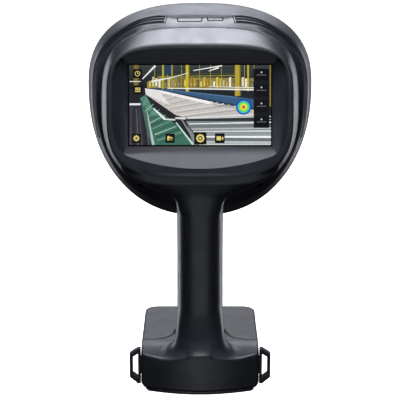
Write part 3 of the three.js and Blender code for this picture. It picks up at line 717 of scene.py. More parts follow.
def build_floor():
    n = Nodes("studio_floor")
    n.set(Base_Color=n.ramp(n.noise(4), (0.3, linear("#f4f4f4")), (0.7, linear("#f8f8f8"))))
    n.set(Roughness=0.9, Emission_Color=linear("#ffffff"), Emission_Strength=1.1)
    side = 9000.0
    floor = mesh_object("floor", [(x, y, 0) for x, y in rectangle(-side, -side, side, side)], [range(4)])
    floor.location.z = -0.2 * MM
    floor.visible_glossy = False
    floor.visible_diffuse = False
    floor.visible_shadow = False
    floor.data.materials.append(n.material)


build_camera()
build_lights()
build_floor()

# ---------- rear housing and grip


def to_display(x, y, z):
    """A point in the display's own frame: right, up, and out towards the operator."""
    back, rise = y - SCREEN_Y, z - SCREEN_Z
    sine, cosine = math.sin(TILT), math.cos(TILT)
    return x, back * cosine + rise * sine, rise * cosine - back * sine


# position, half width, middle, above, below, power above, power below
FRAME = Tube(
    [
        (-6.7, *ROOT),
        (-2.2, 76.2, 0, 60.8, 67.4, 3.3, 2.65),
        (6.6, 72.5, 0, 47.4, 57.0, 4.0, 3.6),
        (9.0, 71.5, 0, 43.8, 54.0, 4.0, 3.6),
    ],
    0.6,
)
HOLLOW = Tube([(-9, 73.8, 0, 58.4, 65.0, 3.3, 2.65), (-3.4, 71.8, 0, 56.4, 63.0, 3.3, 2.65)])


def upright(rows, power, blur):
    """A tube that stands up: z, half width, and y of its back and front."""
    sections = [
        (z, half, (back + front) / 2, (front - back) / 2, (front - back) / 2, power, power)
        for z, half, back, front in rows
    ]
    return Tube(sections, blur)


GRIP = upright(
    [
        (32, 18.8, -51, -5),
        (60, 18.6, -50.4, -6),
        (110, 18.4, -50, -6.5),
        (150, 18.5, -50.4, -8),
        (168, 18.5, -51, -9),
    ],
    2.7,
    6,
)
NECK = upright(
    [
        (140, 14, -46, -29),
        (148, 17.4, -49.4, -31),
        (156, 19.0, -50.6, -33),
        (160.5, 21.8, -51.3, -36),
        (164, 27.3, -52, -39),
        (168, 37, -52.8, -40),
        (173, 48, -53.6, -42),
        (178, 58, -52.6, -42),
        (183, 62, -49.5, -42),
    ],
    3.0,
    2.5,
)
SHOULDERS = upright(
    [
        (16, 29, -59.6, -29),
        (26, 26, -59.6, -28),
        (32, 23.6, -58.6, -27),
        (38, 21.2, -56.4, -26),
        (45, 19.4, -53.8, -26.5),
        (53, 18.2, -51.6, -27.5),
        (60, 16.5, -49.4, -28.5),
        (66, 13, -45, -29),
    ],
    2.4,
    3,
)


def foot_outline():
    side = BASE_HALF
    right = [(side, FOOT_SEAM), (36, FOOT_SEAM + 1.2)]
    right += bezier((36, FOOT_SEAM + 1.2), (26, FOOT_SEAM + 3), (21.4, -17), (20.3, -8), count=12)
    right += [(20, -5)]
    right += bezier((20, -5), (20, -1), (12, 1), (0, 1), count=10)
    left = [(-x, y) for x, y in right[-2::-1]]
    bow = [(-side, -46.1)]
    bow += bezier((-side, -46.1), (-side, -49.6), (-side + 4.5, -50.8))
    bow += bezier((-side + 4.5, -50.8), (-20, -60), (0, -60), count=14)
    bow += [(-x, y) for x, y in bow[-2::-1]]
    return right + left + bow


FOOT = Plan(foot_outline())
# What the foot's sloping top takes away, seen from the side, and the strap loops seen from the back
SLOPE = Plan(
    [(-30.5, 60), (-30.5, 36)]
    + bezier((-30.5, 36), (-42, 34), (-53, 29.6), count=10)
    + [(-63, 23.7), (-63, 60)]
)
LOOP_OUTER = Plan(
    [(-6, 12.6), (0, 12.6), (0, 4), (2.4, 4), (9, 9.6)]
    + [(9, 29.6), (2.4, 34), (0, 34), (0, 26.4), (-6, 26.4)]
)
LOOP_SLOT = Plan([(2.2, 9.8), (6.4, 13.0), (6.4, 26.8), (2.2, 29.4)])


def side_chamfer(x, z, inset=0.0):
    return (np.abs(x) - (BASE_HALF - CHAMFER - inset) - z) * math.sqrt(0.5)


def rear_housing(x, y, z):
    """Display frame, neck, the grip's back half and the foot, hollowed out."""
    u, v, w = to_display(x, y, z)
    display = both(both(FRAME(u, v, w), w - RIM_W, 0.8), ROOT_W + GAP - w, 0.6)
    neck = both(NECK(x, y, z), slab(z, 140, 185), 0.5)
    split = y - (GRIP_SPLIT - GAP / 2)
    grip = both(GRIP(x, y, z), np.maximum(slab(z, 30, 166), split), 0.5)
    shoulders = both(SHOULDERS(x, y, z), np.maximum(slab(z, 16, 66), split), 0.5)
    foot = both(FOOT(x, y), slab(z, PLATE_THICK + GAP, BASE_HEIGHT), 0.9)
    foot = both(foot, side_chamfer(x, z), 1.0)
    foot = without(foot, SLOPE(y, z), 2.2)
    solid = either(display, neck, 1.2 + 3.8 * np.clip((182 - z) / 10, 0, 1))
    solid = either(solid, grip, 2)
    solid = either(solid, shoulders, 4)
    solid = either(solid, foot, 2.5 + 6.5 * np.clip((-31 - y) / 14, 0, 1))
    own_ground = np.minimum(np.minimum(FOOT(x, y), GRIP(x, y, z)), 60 - z)
    solid = both(solid, own_ground, 0.3)
    foot_hollow = both(FOOT(x, y) + 3, slab(z, -5, 25), 1)
    grip_hollow = both(GRIP(x, y, z, WALL + 0.2), slab(z, 34, 170), 1)
    opening = block(u, v, w, (-LCD_HALF, -LCD_TALL, -11), (LCD_HALF, LCD_TALL, -1.2), 0.5)
    hollow = both(HOLLOW(u, v, w), w + 3.4, 0.5)
    contact_pocket = block(x, y, z, (-13.3, -8, 8.7), (13.3, 4, 21.3), 0.5)
    cable_passage = block(x, y, z, (-11, -25, 20), (11, -11, 40), 0.5)
    loop_low, loop_high = (BASE_HALF - 6, -46.4, 12), (BASE_HALF + 4, -38.6, 27)
    loop_pockets = block(np.abs(x), y, z, loop_low, loop_high, 0.5)
    for tool in (opening, hollow, foot_hollow, grip_hollow, contact_pocket, cable_passage, loop_pockets):
        solid = without(solid, tool, 0.5)
    return solid


COVER_TOP, COVER_LEAN = 138.3, 0.653


def grip_cover(x, y, z):
    """The grip's front half. Its top leans with the head's underside."""
    top = z - COVER_TOP + (y + 9) * COVER_LEAN
    solid = both(GRIP(x, y, z), np.maximum(GRIP_SPLIT + GAP / 2 - y, BASE_HEIGHT + GAP - z), 0.9)
    solid = both(solid, top, 0.4)
    solid = without(solid, GRIP(x, y, z, WALL), 0.4)
    trigger_hole = block(x, y, z, (-7.4, -30, 92), (7.4, 20, 117.6), 1.5)
    button_hole = np.hypot(x, z - POWER_Z) - POWER_RADIUS - GAP
    return without(without(solid, trigger_hole, 0.7), button_hole, 0.7)


SCREW_SINK, SINK_DEEP, SCREW_HOLE = 3, 1.4, 1.6


def base_plate(x, y, z):
    """The foot's underside, with a sunk hole for each screw."""
    solid = both(FOOT(x, y) + 0.3, slab(z, 0, PLATE_THICK), 0.5)
    solid = both(solid, side_chamfer(x, z, 0.3), 0.5)
    for px, py in BASE_SCREWS:
        away = np.hypot(np.abs(x) - px, y - py)
        sunk_hole = either(both(away - SCREW_SINK, z - SINK_DEEP, 0.2), away - SCREW_HOLE, 0.2)
        solid = without(solid, sunk_hole, 0.4)
    return solid


def strap_loop(x, y, z):
    """The right-hand loop, which stands out from the foot's side."""
    out = x - BASE_HALF - GAP
    solid = both(LOOP_OUTER(out, z), slab(y, -46, -39), 1.5)
    return without(solid, LOOP_SLOT(out, z), 1.3)


# ---------- battery


BATTERY_CORNER = 11


def battery_block(x, y, inset=0.0):
    """The battery's plan, with two rounded corners at its far end."""
    across, far = np.abs(x) - BASE_HALF + BATTERY_CORNER, y - BASE_FAR + BATTERY_CORNER
    corner = np.hypot(np.maximum(across, 0), np.maximum(far, 0)) + np.minimum(np.maximum(across, far), 0)
    return corner - BATTERY_CORNER + inset


# The battery's far end leans out from its foot: y at the bottom, and how far it moves per mm of height
END_FOOT, END_LEAN = BASE_FAR - 3.2, 0.58


def battery_case(x, y, z, low, high):
    """One half of the battery's casing, with room for cells, contacts and the release button."""
    seat = np.maximum(GAP + 0.1 - FOOT(x, y), FOOT_SEAM - 1 - y)
    solid = both(battery_block(x, y), seat, 0.9)
    solid = both(solid, slab(z, low, high), 0.8)
    solid = both(solid, z - BASE_HEIGHT, 2.8)
    solid = both(solid, side_chamfer(x, z, -2.3) + 0.8, 0.9)
    solid = both(solid, (y - END_FOOT - z * END_LEAN) / math.hypot(1, END_LEAN), 0.9)
    inner = np.maximum(battery_block(x, y, 2.8), 3.2 - FOOT(x, y))
    inner = np.maximum(np.maximum(inner, slab(z, 2.6, BASE_HEIGHT - 2.8)), FOOT_SEAM + 2.4 - y)
    contact_slot = block(x, y, z, (-13.4, -10, 8.6), (13.4, 8.4, 21.4), 0.5)
    button_hole = block(x, y, z, (-11.3, 50, 25.1), (11.3, 70, 32.7), 1.2)
    return without(without(without(solid, inner, 0.5), contact_slot, 0.4), button_hole, 0.6)


def battery_upper(x, y, z):
    spring_seat = block(x, y, z, (-5, 45.6, 26), (5, 47.2, 35), 0.3)
    return np.minimum(battery_case(x, y, z, BATTERY_SPLIT + GAP, 99), spring_seat)


def battery_lower(x, y, z):
    return battery_case(x, y, z, 0, BATTERY_SPLIT)


def ribs(along, pitch, deep):
    return deep * np.cos(along * 2 * math.pi / pitch)


def release_button(x, y, z):
    """A ribbed key on a flange."""
    grip_ribs = ribs(x, 2.2, 0.22) * np.clip(y - 58.5, 0, 1) * (np.abs(x) < 8.8)
    face = block(x, y, z, (-11, 54, 25.4), (11, BASE_FAR - 0.1, 32.4), 1.2) - grip_ribs
    return either(face, block(x, y, z, (-12.6, 53, 24.7), (12.6, 56.8, 32.9), 0.4), 0.4)


# ---------- trigger and power button

TRIGGER_Z, TRIGGER_HALF = 104.5, 7
TRIGGER_SIDE = Plan(
    [(-14, 92.6), (-5, 92.6)]
    + bezier((-5, 92.6), (-1, 94), (-1.6, 100))
    + bezier((-1.6, 100), (-2.6, 106), (-1, 112))
    + bezier((-1, 112), (0, 116.6), (-4, 117))
    + [(-14, 117)]
)


def trigger(x, y, z):
    """A hollow-faced paddle with finger ribs, on a flange."""
    across, up = 5.6 - np.abs(x), 9.5 - np.abs(z - TRIGGER_Z)
    fade = np.clip((y + 5.5) / 2, 0, 1) * np.clip(across * 2, 0, 1) * np.clip(up * 2, 0, 1)
    paddle = both(TRIGGER_SIDE(y, z), np.abs(x) - TRIGGER_HALF, 2.6) - ribs(z, 2.3, 0.16) * fade
    return either(paddle, block(x, y, z, (-9, -14, 90.4), (9, -11.4, 119.2), 0.4), 0.4)


def power_button(x, y, z):
    """A dished cap with a raised power mark, on a flange."""
    up = z - POWER_Z
    away = np.hypot(x, up)
    cap = both(away - POWER_RADIUS, slab(y, -12, -4.8), 1.0)
    dish = np.sqrt(away**2 + (y - 14.6) ** 2) - 20
    cap = without(cap, dish, 0.5)
    ring_gap = 0.9 - np.abs(x) + np.minimum(up, 0) * 9
    ring = np.maximum(np.abs(away - 2.1) - 0.28, ring_gap)
    bar = np.maximum(np.abs(x) - 0.28, np.abs(up - 1.6) - 1.25)
    mark = np.maximum(np.minimum(ring, bar), slab(y, -9, -5.05))
    cap = np.minimum(cap, mark)
    return np.minimum(cap, both(away - 6.2, slab(y, -12, -9.6), 0.4))


# name, field, lowest and highest corner, cell, body, finish
SIDE = BASE_HALF
MOULDED = [
    ("rear_housing", rear_housing, (-79, -61, 2), (79, 2, 292), 0.93, "housing", SHELL_FINISH),
    ("grip_front_cover", grip_cover, (-20, -28, 36), (20, -4, 153), 0.61, "housing", SHELL_FINISH),
    ("base_plate", base_plate, (-44, -61, 0), (44, 2, 3), 0.6, "housing", BLACK_FINISH),
    ("battery_upper_case", battery_upper, (-SIDE, -31, 17), (SIDE, 60, 36), 0.75, "battery", SHELL_FINISH),
    ("battery_lower_case", battery_lower, (-SIDE, -31, 0), (SIDE, 60, 17), 0.75, "battery", SHELL_FINISH),
    ("release_button", release_button, (-13, 53, 24), (13, 60, 33), 0.32, "release", BLACK_FINISH),
    ("trigger", trigger, (-9, -14, 90), (9, 0, 120), 0.36, "trigger_paddle", BLACK_FINISH),
    ("power_button", power_button, (-6.5, -12.2, 73), (6.5, -4, 87), 0.22, "power_key", (RUBBER, "rubber")),
    ("strap_loop_right", strap_loop, (41, -47, 3), (58, -38, 35), 0.45, "housing", LOOP_FINISH),
]


def build_moulded_parts():
    """Every piece that is drawn as a distance field, and the left strap loop as a mirror image."""
    for name, field, low, high, cell, body, finish in MOULDED:
        finish_piece(moulded(f"{name}_skin", field, low, high, cell), body, finish, name)
    mesh = bpy.data.objects["strap_loop_right_skin"].data.copy()
    mesh.transform(Matrix.Scale(-1, 4, (1, 0, 0)))
    mesh.flip_normals()
    finish_piece(linked("strap_loop_left_skin", mesh), "housing", LOOP_FINISH, "strap_loop_left")


build_moulded_parts()


# ---------- head shells


def egg_point(egg, angle, inset):
    """Across and up for a point of an egg outline that is moved in by inset."""
    half, middle, above, below, power_up, power_down = egg
    cosine, sine = np.cos(angle), np.sin(angle)
    high = sine >= 0
    power = np.where(high, power_up, power_down)
    tall = np.where(high, above, below) - inset
    across = (half - inset) * np.sign(cosine) * np.abs(cosine) ** (2 / power)
    return across, middle + tall * np.sign(sine) * np.abs(sine) ** (2 / power)


def ease(value, low, high):
    """0 below low, 1 above high, and smooth between them."""
    t = np.clip((value - low) / (high - low), 0, 1)
    return t * t * (3 - 2 * t)


def seam_point(angle, inset):
    """The seam's outline, which rises either side of the ports so that the vents have room."""
    across, up = egg_point(SEAM, angle, inset)
    side = np.abs(across)
    rise = SEAM_RISE * ease(side, 19, 34) * (1 - ease(side, 44, 70)) * (up > SEAM[1])
    return across, up + rise


def from_display(u, v, w):
    sine, cosine = math.sin(TILT), math.cos(TILT)
    y = SCREEN_Y + v * cosine - w * sine
    z = SCREEN_Z + v * sine + w * cosine
    return np.stack(np.broadcast_arrays(u, y, z), -1)


# y and inset round the front housing's wall, from its seam over the front lip and back inside
HOUSING_PROFILE = (
    [(-3.0, 1.45), (-2.97, 1.25), (-2.85, 1.05), (-2.5, 0.8), (-1.8, 0.52), (-0.8, 0.28), (0.6, 0.1)]
    + [(2.2, 0.02)]
    + [(y, 0.0) for y in range(4, 34, 3)]
    + [(34.5, 0.04), (36, 0.16), (37.5, 0.42), (38.8, 0.8), (40, 1.35), (41, 2.05), (41.8, 2.9), (42.4, 3.8)]
    + [(42.8, 4.8), (42.97, 5.8), (43, 6.8), (43, 7.8), (42.93, 8.3), (42.75, 8.7), (42.45, 8.93), (42, 9)]
    + [(40, 9), (38, 9), (36.2, 9), (36, 8.8), (36, 7), (36, 4), (35.8, WALL + 0.2), (35.4, WALL)]
    + [(y, WALL) for y in range(33, -2, -3)]
    + [(-2.6, WALL), (-2.9, WALL - 0.2), (-3.0, WALL - 0.5)]
)


def build_front_housing():
    """The head's outer ring. Its outline changes from the seam's to the head's own."""
    columns = round(336 / DETAIL)
    turn = (np.arange(columns) + 0.5) * 2 * math.pi / columns
    rings = []
    for y, inset in HOUSING_PROFILE:
        share = min(max((y - HEAD_SEAM) / (27 - HEAD_SEAM), 0), 1)
        egg = [s + (h - s) * share for s, h in zip(SEAM, HEAD)]
        across, up = egg_point(egg, turn, inset)
        up += (seam_point(turn, inset)[1] - egg_point(SEAM, turn, inset)[1]) * (1 - share) ** 2
        rings.append(np.stack([across, np.full(columns, y), up], -1))
    rows = len(rings)
    r, c = np.meshgrid(np.arange(rows), np.arange(columns), indexing="ij")
    corners = [(r, c), (r, c + 1), (r + 1, c + 1), (r + 1, c)]
    faces = np.stack([(a % rows) * columns + b % columns for a, b in corners], -1).reshape(-1, 4)
    skin = mesh_object("front_housing_skin", np.array(rings).reshape(-1, 3), faces[:, ::-1])
    finish_piece(skin, "housing", SHELL_FINISH, "front_housing")


VENT_LOW, VENT_HIGH = -0.34, 1.39
VENT_START = 0.05


def vent_reach(angle):
    """The step where the vent window ends, which is deepest near the head's top."""
    folded = np.arcsin(np.sin(angle))
    return np.interp(folded, [VENT_LOW, VENT_HIGH], [0.36, 0.76])


def bowl_point(angle, step, depth):
    """Near the top the wall swells. At the sides and below it sinks into a groove beyond the vents."""
    top = ease(np.arcsin(np.sin(angle)), 0.7, 1.2)
    reach = vent_reach(angle)
    groove = np.sin(math.pi * np.clip((step - reach) / (1 - reach), 0, 1) ** 0.8) ** 2
    inset = depth - top * BOWL_BULGE * 4 * step * (1 - step) + (1 - top) * BOWL_GROOVE * groove
    across, up = seam_point(angle, inset + SEAM_STEP)
    front = np.stack(np.broadcast_arrays(across, HEAD_SEAM - SEAM_GAP, up), -1)
    back = from_display(*egg_point(ROOT, angle, inset), ROOT_W)
    return front + (back - front) * np.asarray(step)[..., None]


def bowl_grid(angles, shares, depth):
    """Rows follow the vent's edges: shares -1 to 0 lie before the vent, 0 to 1 across it, 1 to 2 after."""
    angle, share = np.meshgrid(angles, shares)
    reach = vent_reach(angle)
    before = VENT_START * (share + 1)
    across = VENT_START + (reach - VENT_START) * share
    after = reach + (1 - reach) * (share - 1)
    step = np.where(share < 0, before, np.where(share < 1, across, after))
    return bowl_point(angle, step, depth)


def stretch(*stops_and_counts):
    """Evenly spaced values between stops: first stop, count, next stop, count, and so on."""
    values = [stops_and_counts[0]]
    for count, stop in zip(stops_and_counts[1::2], stops_and_counts[2::2]):
        count = max(2, round(count / DETAIL))
        values += list(values[-1] + (stop - values[-1]) * np.arange(1, count + 1) / count)
    return np.array(values)


RIGHT_ANGLES = stretch(-math.pi / 2, 70, VENT_LOW, 120, VENT_HIGH, 26, math.pi / 2)
ALL_ANGLES = np.concatenate([RIGHT_ANGLES, math.pi - RIGHT_ANGLES[-2:0:-1]])
HEAD_SCREWS = (47.0, 166.0)
POST_RADIUS, WELL_RADIUS, SCREW_RADIUS = 6, 4, 1.8
POST_NEAR, WELL_NEAR, POST_FAR = 2, -14, -52


def midway(values):
    return (values[1:] + values[:-1]) / 2


def closed_bowl(depth):
    """The whole bowl as one solid, for cutting with."""
    return stacked("bowl_tool", bowl_grid(ALL_ANGLES, np.linspace(-1, 2, 40), depth))


# The ports lie on a land that slopes up from the seam: x, y up along the shell, and z out of it.
PORT_SLOPE = math.radians(40)
PORT_EDGE = (HEAD_SEAM - GAP, 295.7)
FLAP_DEEP = 1.2
FLAP_SWING = 0.2
SEAT_CORNER, SEAT_LEDGE = 1.1, 1.4
PORTS = {
    "card": {"x": -8.1, "width": 19.3, "near": -5.3, "far": -0.6},
    "usb_c": {"x": 12.0, "width": 12.4, "near": -4.3, "far": -0.6},
}


def from_land(x, along, out):
    sine, cosine = math.sin(PORT_SLOPE), math.cos(PORT_SLOPE)
    y = PORT_EDGE[0] + along * cosine - out * sine
    z = PORT_EDGE[1] + along * sine + out * cosine
    return np.stack(np.broadcast_arrays(x, y, z), -1)


# half width, above and below of the display's recess, at the glass and at its rim
RECESS_LIP = (56.4, 32.3, 32.4)
RECESS_TOP = (68.6, 43.6, 50.2)
RECESS_CORNER = (-50.9, -41.9)
LIP_THICK = 0.5


def recess_opening():
    """An egg above the middle, and below it two curves each side that meet at a corner."""
    half, above, _ = RECESS_TOP
    upper = egg_point((half, 0, above, above, 4.6, 4.6), np.arange(1, 80) * math.pi / 80, 0)
    lower = [(-half, 0)] + bezier((-half, 0), (-half, -31), (-63, -39), RECESS_CORNER, count=16)
    lower += bezier(RECESS_CORNER, (-36, -46.9), (-18, -49.9), (0, -49.9), count=16)
    lower += [(-x, y) for x, y in lower[-2::-1]]
    return np.concatenate([np.stack(upper, -1), lower])


def cut_recess():
    """Cuts the display's recess with flat walls, a curved opening, and a lip over the glass's edge."""
    rings = []
    sizes = (RECESS_LIP, RECESS_LIP, RECESS_TOP, RECESS_TOP)
    for level, (half, above, below) in zip((-0.3, LIP_THICK, RIM_W, RIM_W + 3), sizes):
        rings.append(from_display(*np.array(rectangle(-half, -below, half, above)).T, level))
    tool = stacked("recess_tool", rings)
    boolean(tool, prism(recess_opening(), from_display, -1, RIM_W + 2), "INTERSECT")
    half, tall = GLASS_HALF + GAP, GLASS_TALL + GAP
    pocket = rounded_rectangle((-half, -tall), (half, tall), 1.6)
    boolean(tool, prism(pocket, from_display, -1.7, 0.1), "UNION")
    skin = bpy.data.objects["rear_housing_skin"]
    boolean(skin, tool)
    # Only the recess keeps sharp edges, as the fields round all the others.
    mesh = skin.data
    smoothed(mesh, 38)
    u, v, w = to_display(*np.array([p.co / MM for p in mesh.vertices]).T)
    near_recess = (w > -2) & (np.abs(u) < 69.2) & (v < 44.4) & (v > -51)
    ends = np.array([tuple(e.vertices) for e in mesh.edges])
    sharp = mesh.attributes["sharp_edge"].data
    values = np.zeros(len(mesh.edges), bool)
    sharp.foreach_get("value", values)
    sharp.foreach_set("value", values & near_recess[ends].all(1))


def neck_tool():
    """The neck and the grip's top, a little larger than they are."""

    def field(x, y, z):
        neck = both(NECK(x, y, z, -GAP), slab(z, 138, 190), 0.5)
        return either(neck, both(GRIP(x, y, z, -GAP), slab(z, 120, 170), 0.5), 2)

    points, faces = surface_of(field, (-64, -56, 118), (64, -4, 192), 1.6)
    return mesh_object("neck_tool", settle(points, faces, field, 1.6), faces)


def build_rear_shell():
    """The bowl, with its vent openings, screw wells, flap seats and the cut for the neck."""
    shares = stretch(-1, 3, 0, 14, 1, 12, 2)
    middle_angle = np.arcsin(np.sin((ALL_ANGLES + np.roll(ALL_ANGLES, -1)) / 2))
    middle_angle[-1] = -math.pi / 2
    middle_share = midway(shares)
    in_window = (middle_angle > VENT_LOW) & (middle_angle < VENT_HIGH)
    keep = ~(((middle_share > 0) & (middle_share < 1))[:, None] & in_window[None, :])
    skins = [bowl_grid(ALL_ANGLES, shares, depth) for depth in (0, BOWL_WALL)]
    skin = mesh_object("rear_shell_skin", *shell(*skins, keep))
    make_outward(skin)
    for side in (-1, 1):
        centre = (side * HEAD_SCREWS[0], HEAD_SCREWS[1])
        post = tool_rod(centre, POST_RADIUS, POST_NEAR, POST_FAR)
        boolean(post, closed_bowl(BOWL_WALL / 2), "INTERSECT")
        boolean(skin, post, "UNION")
        boolean(skin, tool_rod(centre, WELL_RADIUS, WELL_NEAR, POST_FAR - 2))
        boolean(skin, tool_rod(centre, SCREW_RADIUS, POST_NEAR + 2, POST_FAR - 2, 24))
    for port in PORTS.values():
        half = port["width"] / 2
        low = (port["x"] - half - GAP, port["near"] - GAP - FLAP_SWING - 0.1)
        high = (port["x"] + half + GAP, port["far"] + GAP)
        seat = rounded_rectangle(low, high, SEAT_CORNER)
        boolean(skin, prism(seat, from_land, -FLAP_DEEP - 0.5, 4))
        inner_low = (low[0] + GAP + SEAT_LEDGE, port["near"] + 0.5)
        inner_high = (high[0] - GAP - SEAT_LEDGE, port["far"] - 0.3)
        boolean(skin, prism(rounded_rectangle(inner_low, inner_high, 0.8), from_land, -9, 0))
    boolean(skin, neck_tool())
    bevelled(skin, 0.3)
    finish_piece(skin, "housing", SHELL_FINISH, "rear_shell")


def both_sides(name, angles, shares, depths, keep):
    """The right side's stretch of the bowl between two depths, and its mirror image."""
    points, faces = shell(*[bowl_grid(angles, shares, depth) for depth in depths], keep, closed=False)
    for side, word in ((1, "right"), (-1, "left")):
        skin = mesh_object(name.format(word), points * (side, 1, 1), faces, sharp=50)
        make_outward(skin)
        yield skin, word


# a grille's thickness, and its slots as shares of the way across the vent
GRILLE_THICK = 0.9
SLOTS = [(0.06 + 0.32 * k, 0.32 + 0.32 * k) for k in range(3)]
SCREEN_DEPTHS = (BOWL_WALL + 0.3, BOWL_WALL + 0.7)


def build_grilles():
    """Long bars with three slots between them, and near-black cloth behind them, whose dark colour also
    paints the shade inside the slots.
    """
    trim, bridge = 0.006, 0.016
    angles = stretch(VENT_LOW + trim, 2, VENT_LOW + bridge, 110, VENT_HIGH - bridge, 2, VENT_HIGH - trim)
    stops = [stop for slot in SLOTS for stop in slot] + [0.99]
    shares = stretch(0.04, *[item for stop in stops for item in (3, stop)])
    middle_angle, middle_share = midway(angles), midway(shares)
    slotted = np.any([(middle_share > low) & (middle_share < high) for low, high in SLOTS], axis=0)
    open_angle = (middle_angle > VENT_LOW + bridge) & (middle_angle < VENT_HIGH - bridge)
    keep = ~(slotted[:, None] & open_angle[None, :])
    for skin, word in both_sides("vent_grille_{}_skin", angles, shares, (0, GRILLE_THICK), keep):
        bevelled(skin, 0.2)
        finish_piece(skin, "housing", GRILLE_FINISH, f"vent_grille_{word}")
    # Cloth sheets behind the slots: their near-black colour is partly the cloth's own and partly painted
    # shade.
    angles = stretch(VENT_LOW - 0.02, 60, VENT_HIGH + 0.02)
    shares = np.linspace(-0.7, 1.3, 12)
    keep = np.ones((len(shares) - 1, len(angles) - 1), bool)
    for skin, _ in both_sides("vent_screen_{}", angles, shares, SCREEN_DEPTHS, keep):
        finish_piece(skin, "housing", (CLOTH, "mesh_fabric"))


# ---------- port flaps


def flap_mark(name, across, along):
    """How deep the flap's own mark is pressed in at a point measured from its middle."""
    if name == "card":
        edge = np.maximum(np.abs(across) - 2.6, np.abs(along - 0.3) - 0.28)
    else:
        ring = np.abs(np.hypot(across, along - 0.2) - 0.75) - 0.2
        edge = np.minimum(ring, np.maximum(np.abs(across) - 2.4, np.abs(along - 0.2) - 0.16))
        edge = np.maximum(edge, 0.55 - np.hypot(across, along - 0.2))
    return 0.16 * np.clip(0.5 - edge * 5, 0, 1)


def build_flaps():
    bowl = closed_bowl(0)
    bowl.data.calc_loop_triangles()
    corners = [tuple(v.co / MM) for v in bowl.data.vertices]
    tree = BVHTree.FromPolygons(corners, [tuple(t.vertices) for t in bowl.data.loop_triangles])
    normal = Vector(from_land(0, 0, 1) - from_land(0, 0, 0))
    spacing, above, corner, edge, gap = 0.16 * DETAIL, 12, 1.2, 0.35, 0.25
    for name, port in PORTS.items():
        half = port["width"] / 2 - gap
        middle = (port["near"] + port["far"]) / 2
        tall = (port["far"] - port["near"]) / 2
        xs = np.linspace(-half, half, round(2 * half / spacing))
        ys = np.linspace(port["near"], port["far"], round(2 * tall / spacing))
        x, y = np.meshgrid(xs, ys)
        height = np.zeros(x.shape)
        for at in np.ndindex(x.shape):
            start = Vector(from_land(port["x"] + x[at], y[at], above))
            height[at] = above - tree.ray_cast(start, -normal)[3]
        past_x, past_y = np.abs(x) - half, np.abs(y - middle) - tall
        rounding = np.hypot(np.maximum(past_x + corner, 0), np.maximum(past_y + corner, 0)) - corner
        inward = -np.maximum(rounding, np.maximum(past_x, past_y))
        drop = edge * (1 - np.sqrt(1 - np.clip(1 - inward / edge, 0, 1) ** 2))
        height -= drop + flap_mark(name, x, y - middle)
        keep_vertex = inward > -0.02
        keep = keep_vertex[1:, 1:] & keep_vertex[1:, :-1] & keep_vertex[:-1, 1:] & keep_vertex[:-1, :-1]
        top = from_land(port["x"] + x, y, height)
        bottom = from_land(port["x"] + x, y, -FLAP_DEEP + np.where(y > port["far"] - 0.5, 0.5, 0))
        points, faces = shell(top, bottom, keep, closed=False)
        skin = mesh_object(f"{name}_flap_skin", points, faces, sharp=50)
        make_outward(skin)
        finish_piece(skin, f"{name}_lid", FLAP_FINISH, f"{name}_flap")
    bpy.data.objects.remove(bowl)


# ---------- screws


def build_screw(name, centre, seat, axis, head):
    """A pan head that faces down its axis, with a six-lobed recess."""
    turn = np.arange(72) * 2 * math.pi / 72
    recess = head * 0.42 * (1 + 0.13 * np.cos(6 * turn))
    rows = [(0.5, 1.9), (1, 1.9), (1, 0.55), (0.97, 0.28), (0.88, 0.08), (0.72, 0)]
    rows = [(share * head, depth) for share, depth in rows]
    rows += [(recess * 1.06, 0), (recess, 0.1), (recess * 0.96, 1.2), (recess * 0.02, 1.35)]
    rings = []
    for radius, depth in rows:
        across, along = centre[0] + radius * np.cos(turn), centre[1] + radius * np.sin(turn)
        level = np.full(len(turn), seat + depth)
        rings.append(np.stack([across, level, along] if axis == "y" else [across, along, level], -1))
    finish_piece(stacked(f"{name}_skin", rings, sharp=40), "housing", STEEL_FINISH, name)


# where a screw's outer face lies along its axis, the axis, and the radius of its head
HEAD_SCREW = (-16.4, "y", 2.9)
BASE_SCREW = (0.2, "z", 2.7)


def build_screws():
    for side, word in ((-1, "left"), (1, "right")):
        build_screw(f"head_screw_{word}", (side * HEAD_SCREWS[0], HEAD_SCREWS[1]), *HEAD_SCREW)
    places = [(side * x, y) for x, y in BASE_SCREWS for side in (-1, 1)]
    for number, place in enumerate(places, 1):
        build_screw(f"base_screw_{number}", place, *BASE_SCREW)


# ---------- springs

SPRING_WIRE = 0.35
SPRING_TURNS = 4


def build_spring(name, body, foot, radius, length):
    """A coil along Y from foot."""
    steps, around = SPRING_TURNS * 32, 12
    turn = np.linspace(0, SPRING_TURNS * 2 * math.pi, steps + 1)[:, None]
    round_wire = np.arange(around) * 2 * math.pi / around
    out = radius + SPRING_WIRE * np.cos(round_wire)
    rise = length * turn / turn[-1] + SPRING_WIRE * np.sin(round_wire)
    points = np.stack([foot[0] + out * np.cos(turn), foot[1] + rise, foot[2] + out * np.sin(turn)], -1)
    skin = stacked(f"{name}_skin", points, sharp=50)
    finish_piece(skin, body, STEEL_FINISH, name)
    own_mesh(skin)


def build_springs():
    build_spring("trigger_spring", "housing", (0, -20.8, 113), 2.2, 6)
    build_spring("release_spring", "battery", (0, 47.6, 29), 2.0, 5)


# ---------- microphone side


HOLE_RADIUS = 1.15
LAMP_X = 24
# x, z, radius and number of sides of the panel's openings for the camera and the lamps
OPENINGS = [(0, LENS_Z, 13.3, 72), (-LAMP_X, LENS_Z, 4.3, 36), (LAMP_X, LENS_Z, 4.3, 36)]
PANEL_FRONT = 41.6
PANEL_THICK = 3.0
PANEL_INSET = 9


ARMS, HOLES_IN_ARM = 9, 13
ARM_START, ARM_STEP = 19, 4.35
ARM_TURN, ARM_TWIST = 0.35, 0.062
LAMP_CLEAR = 7


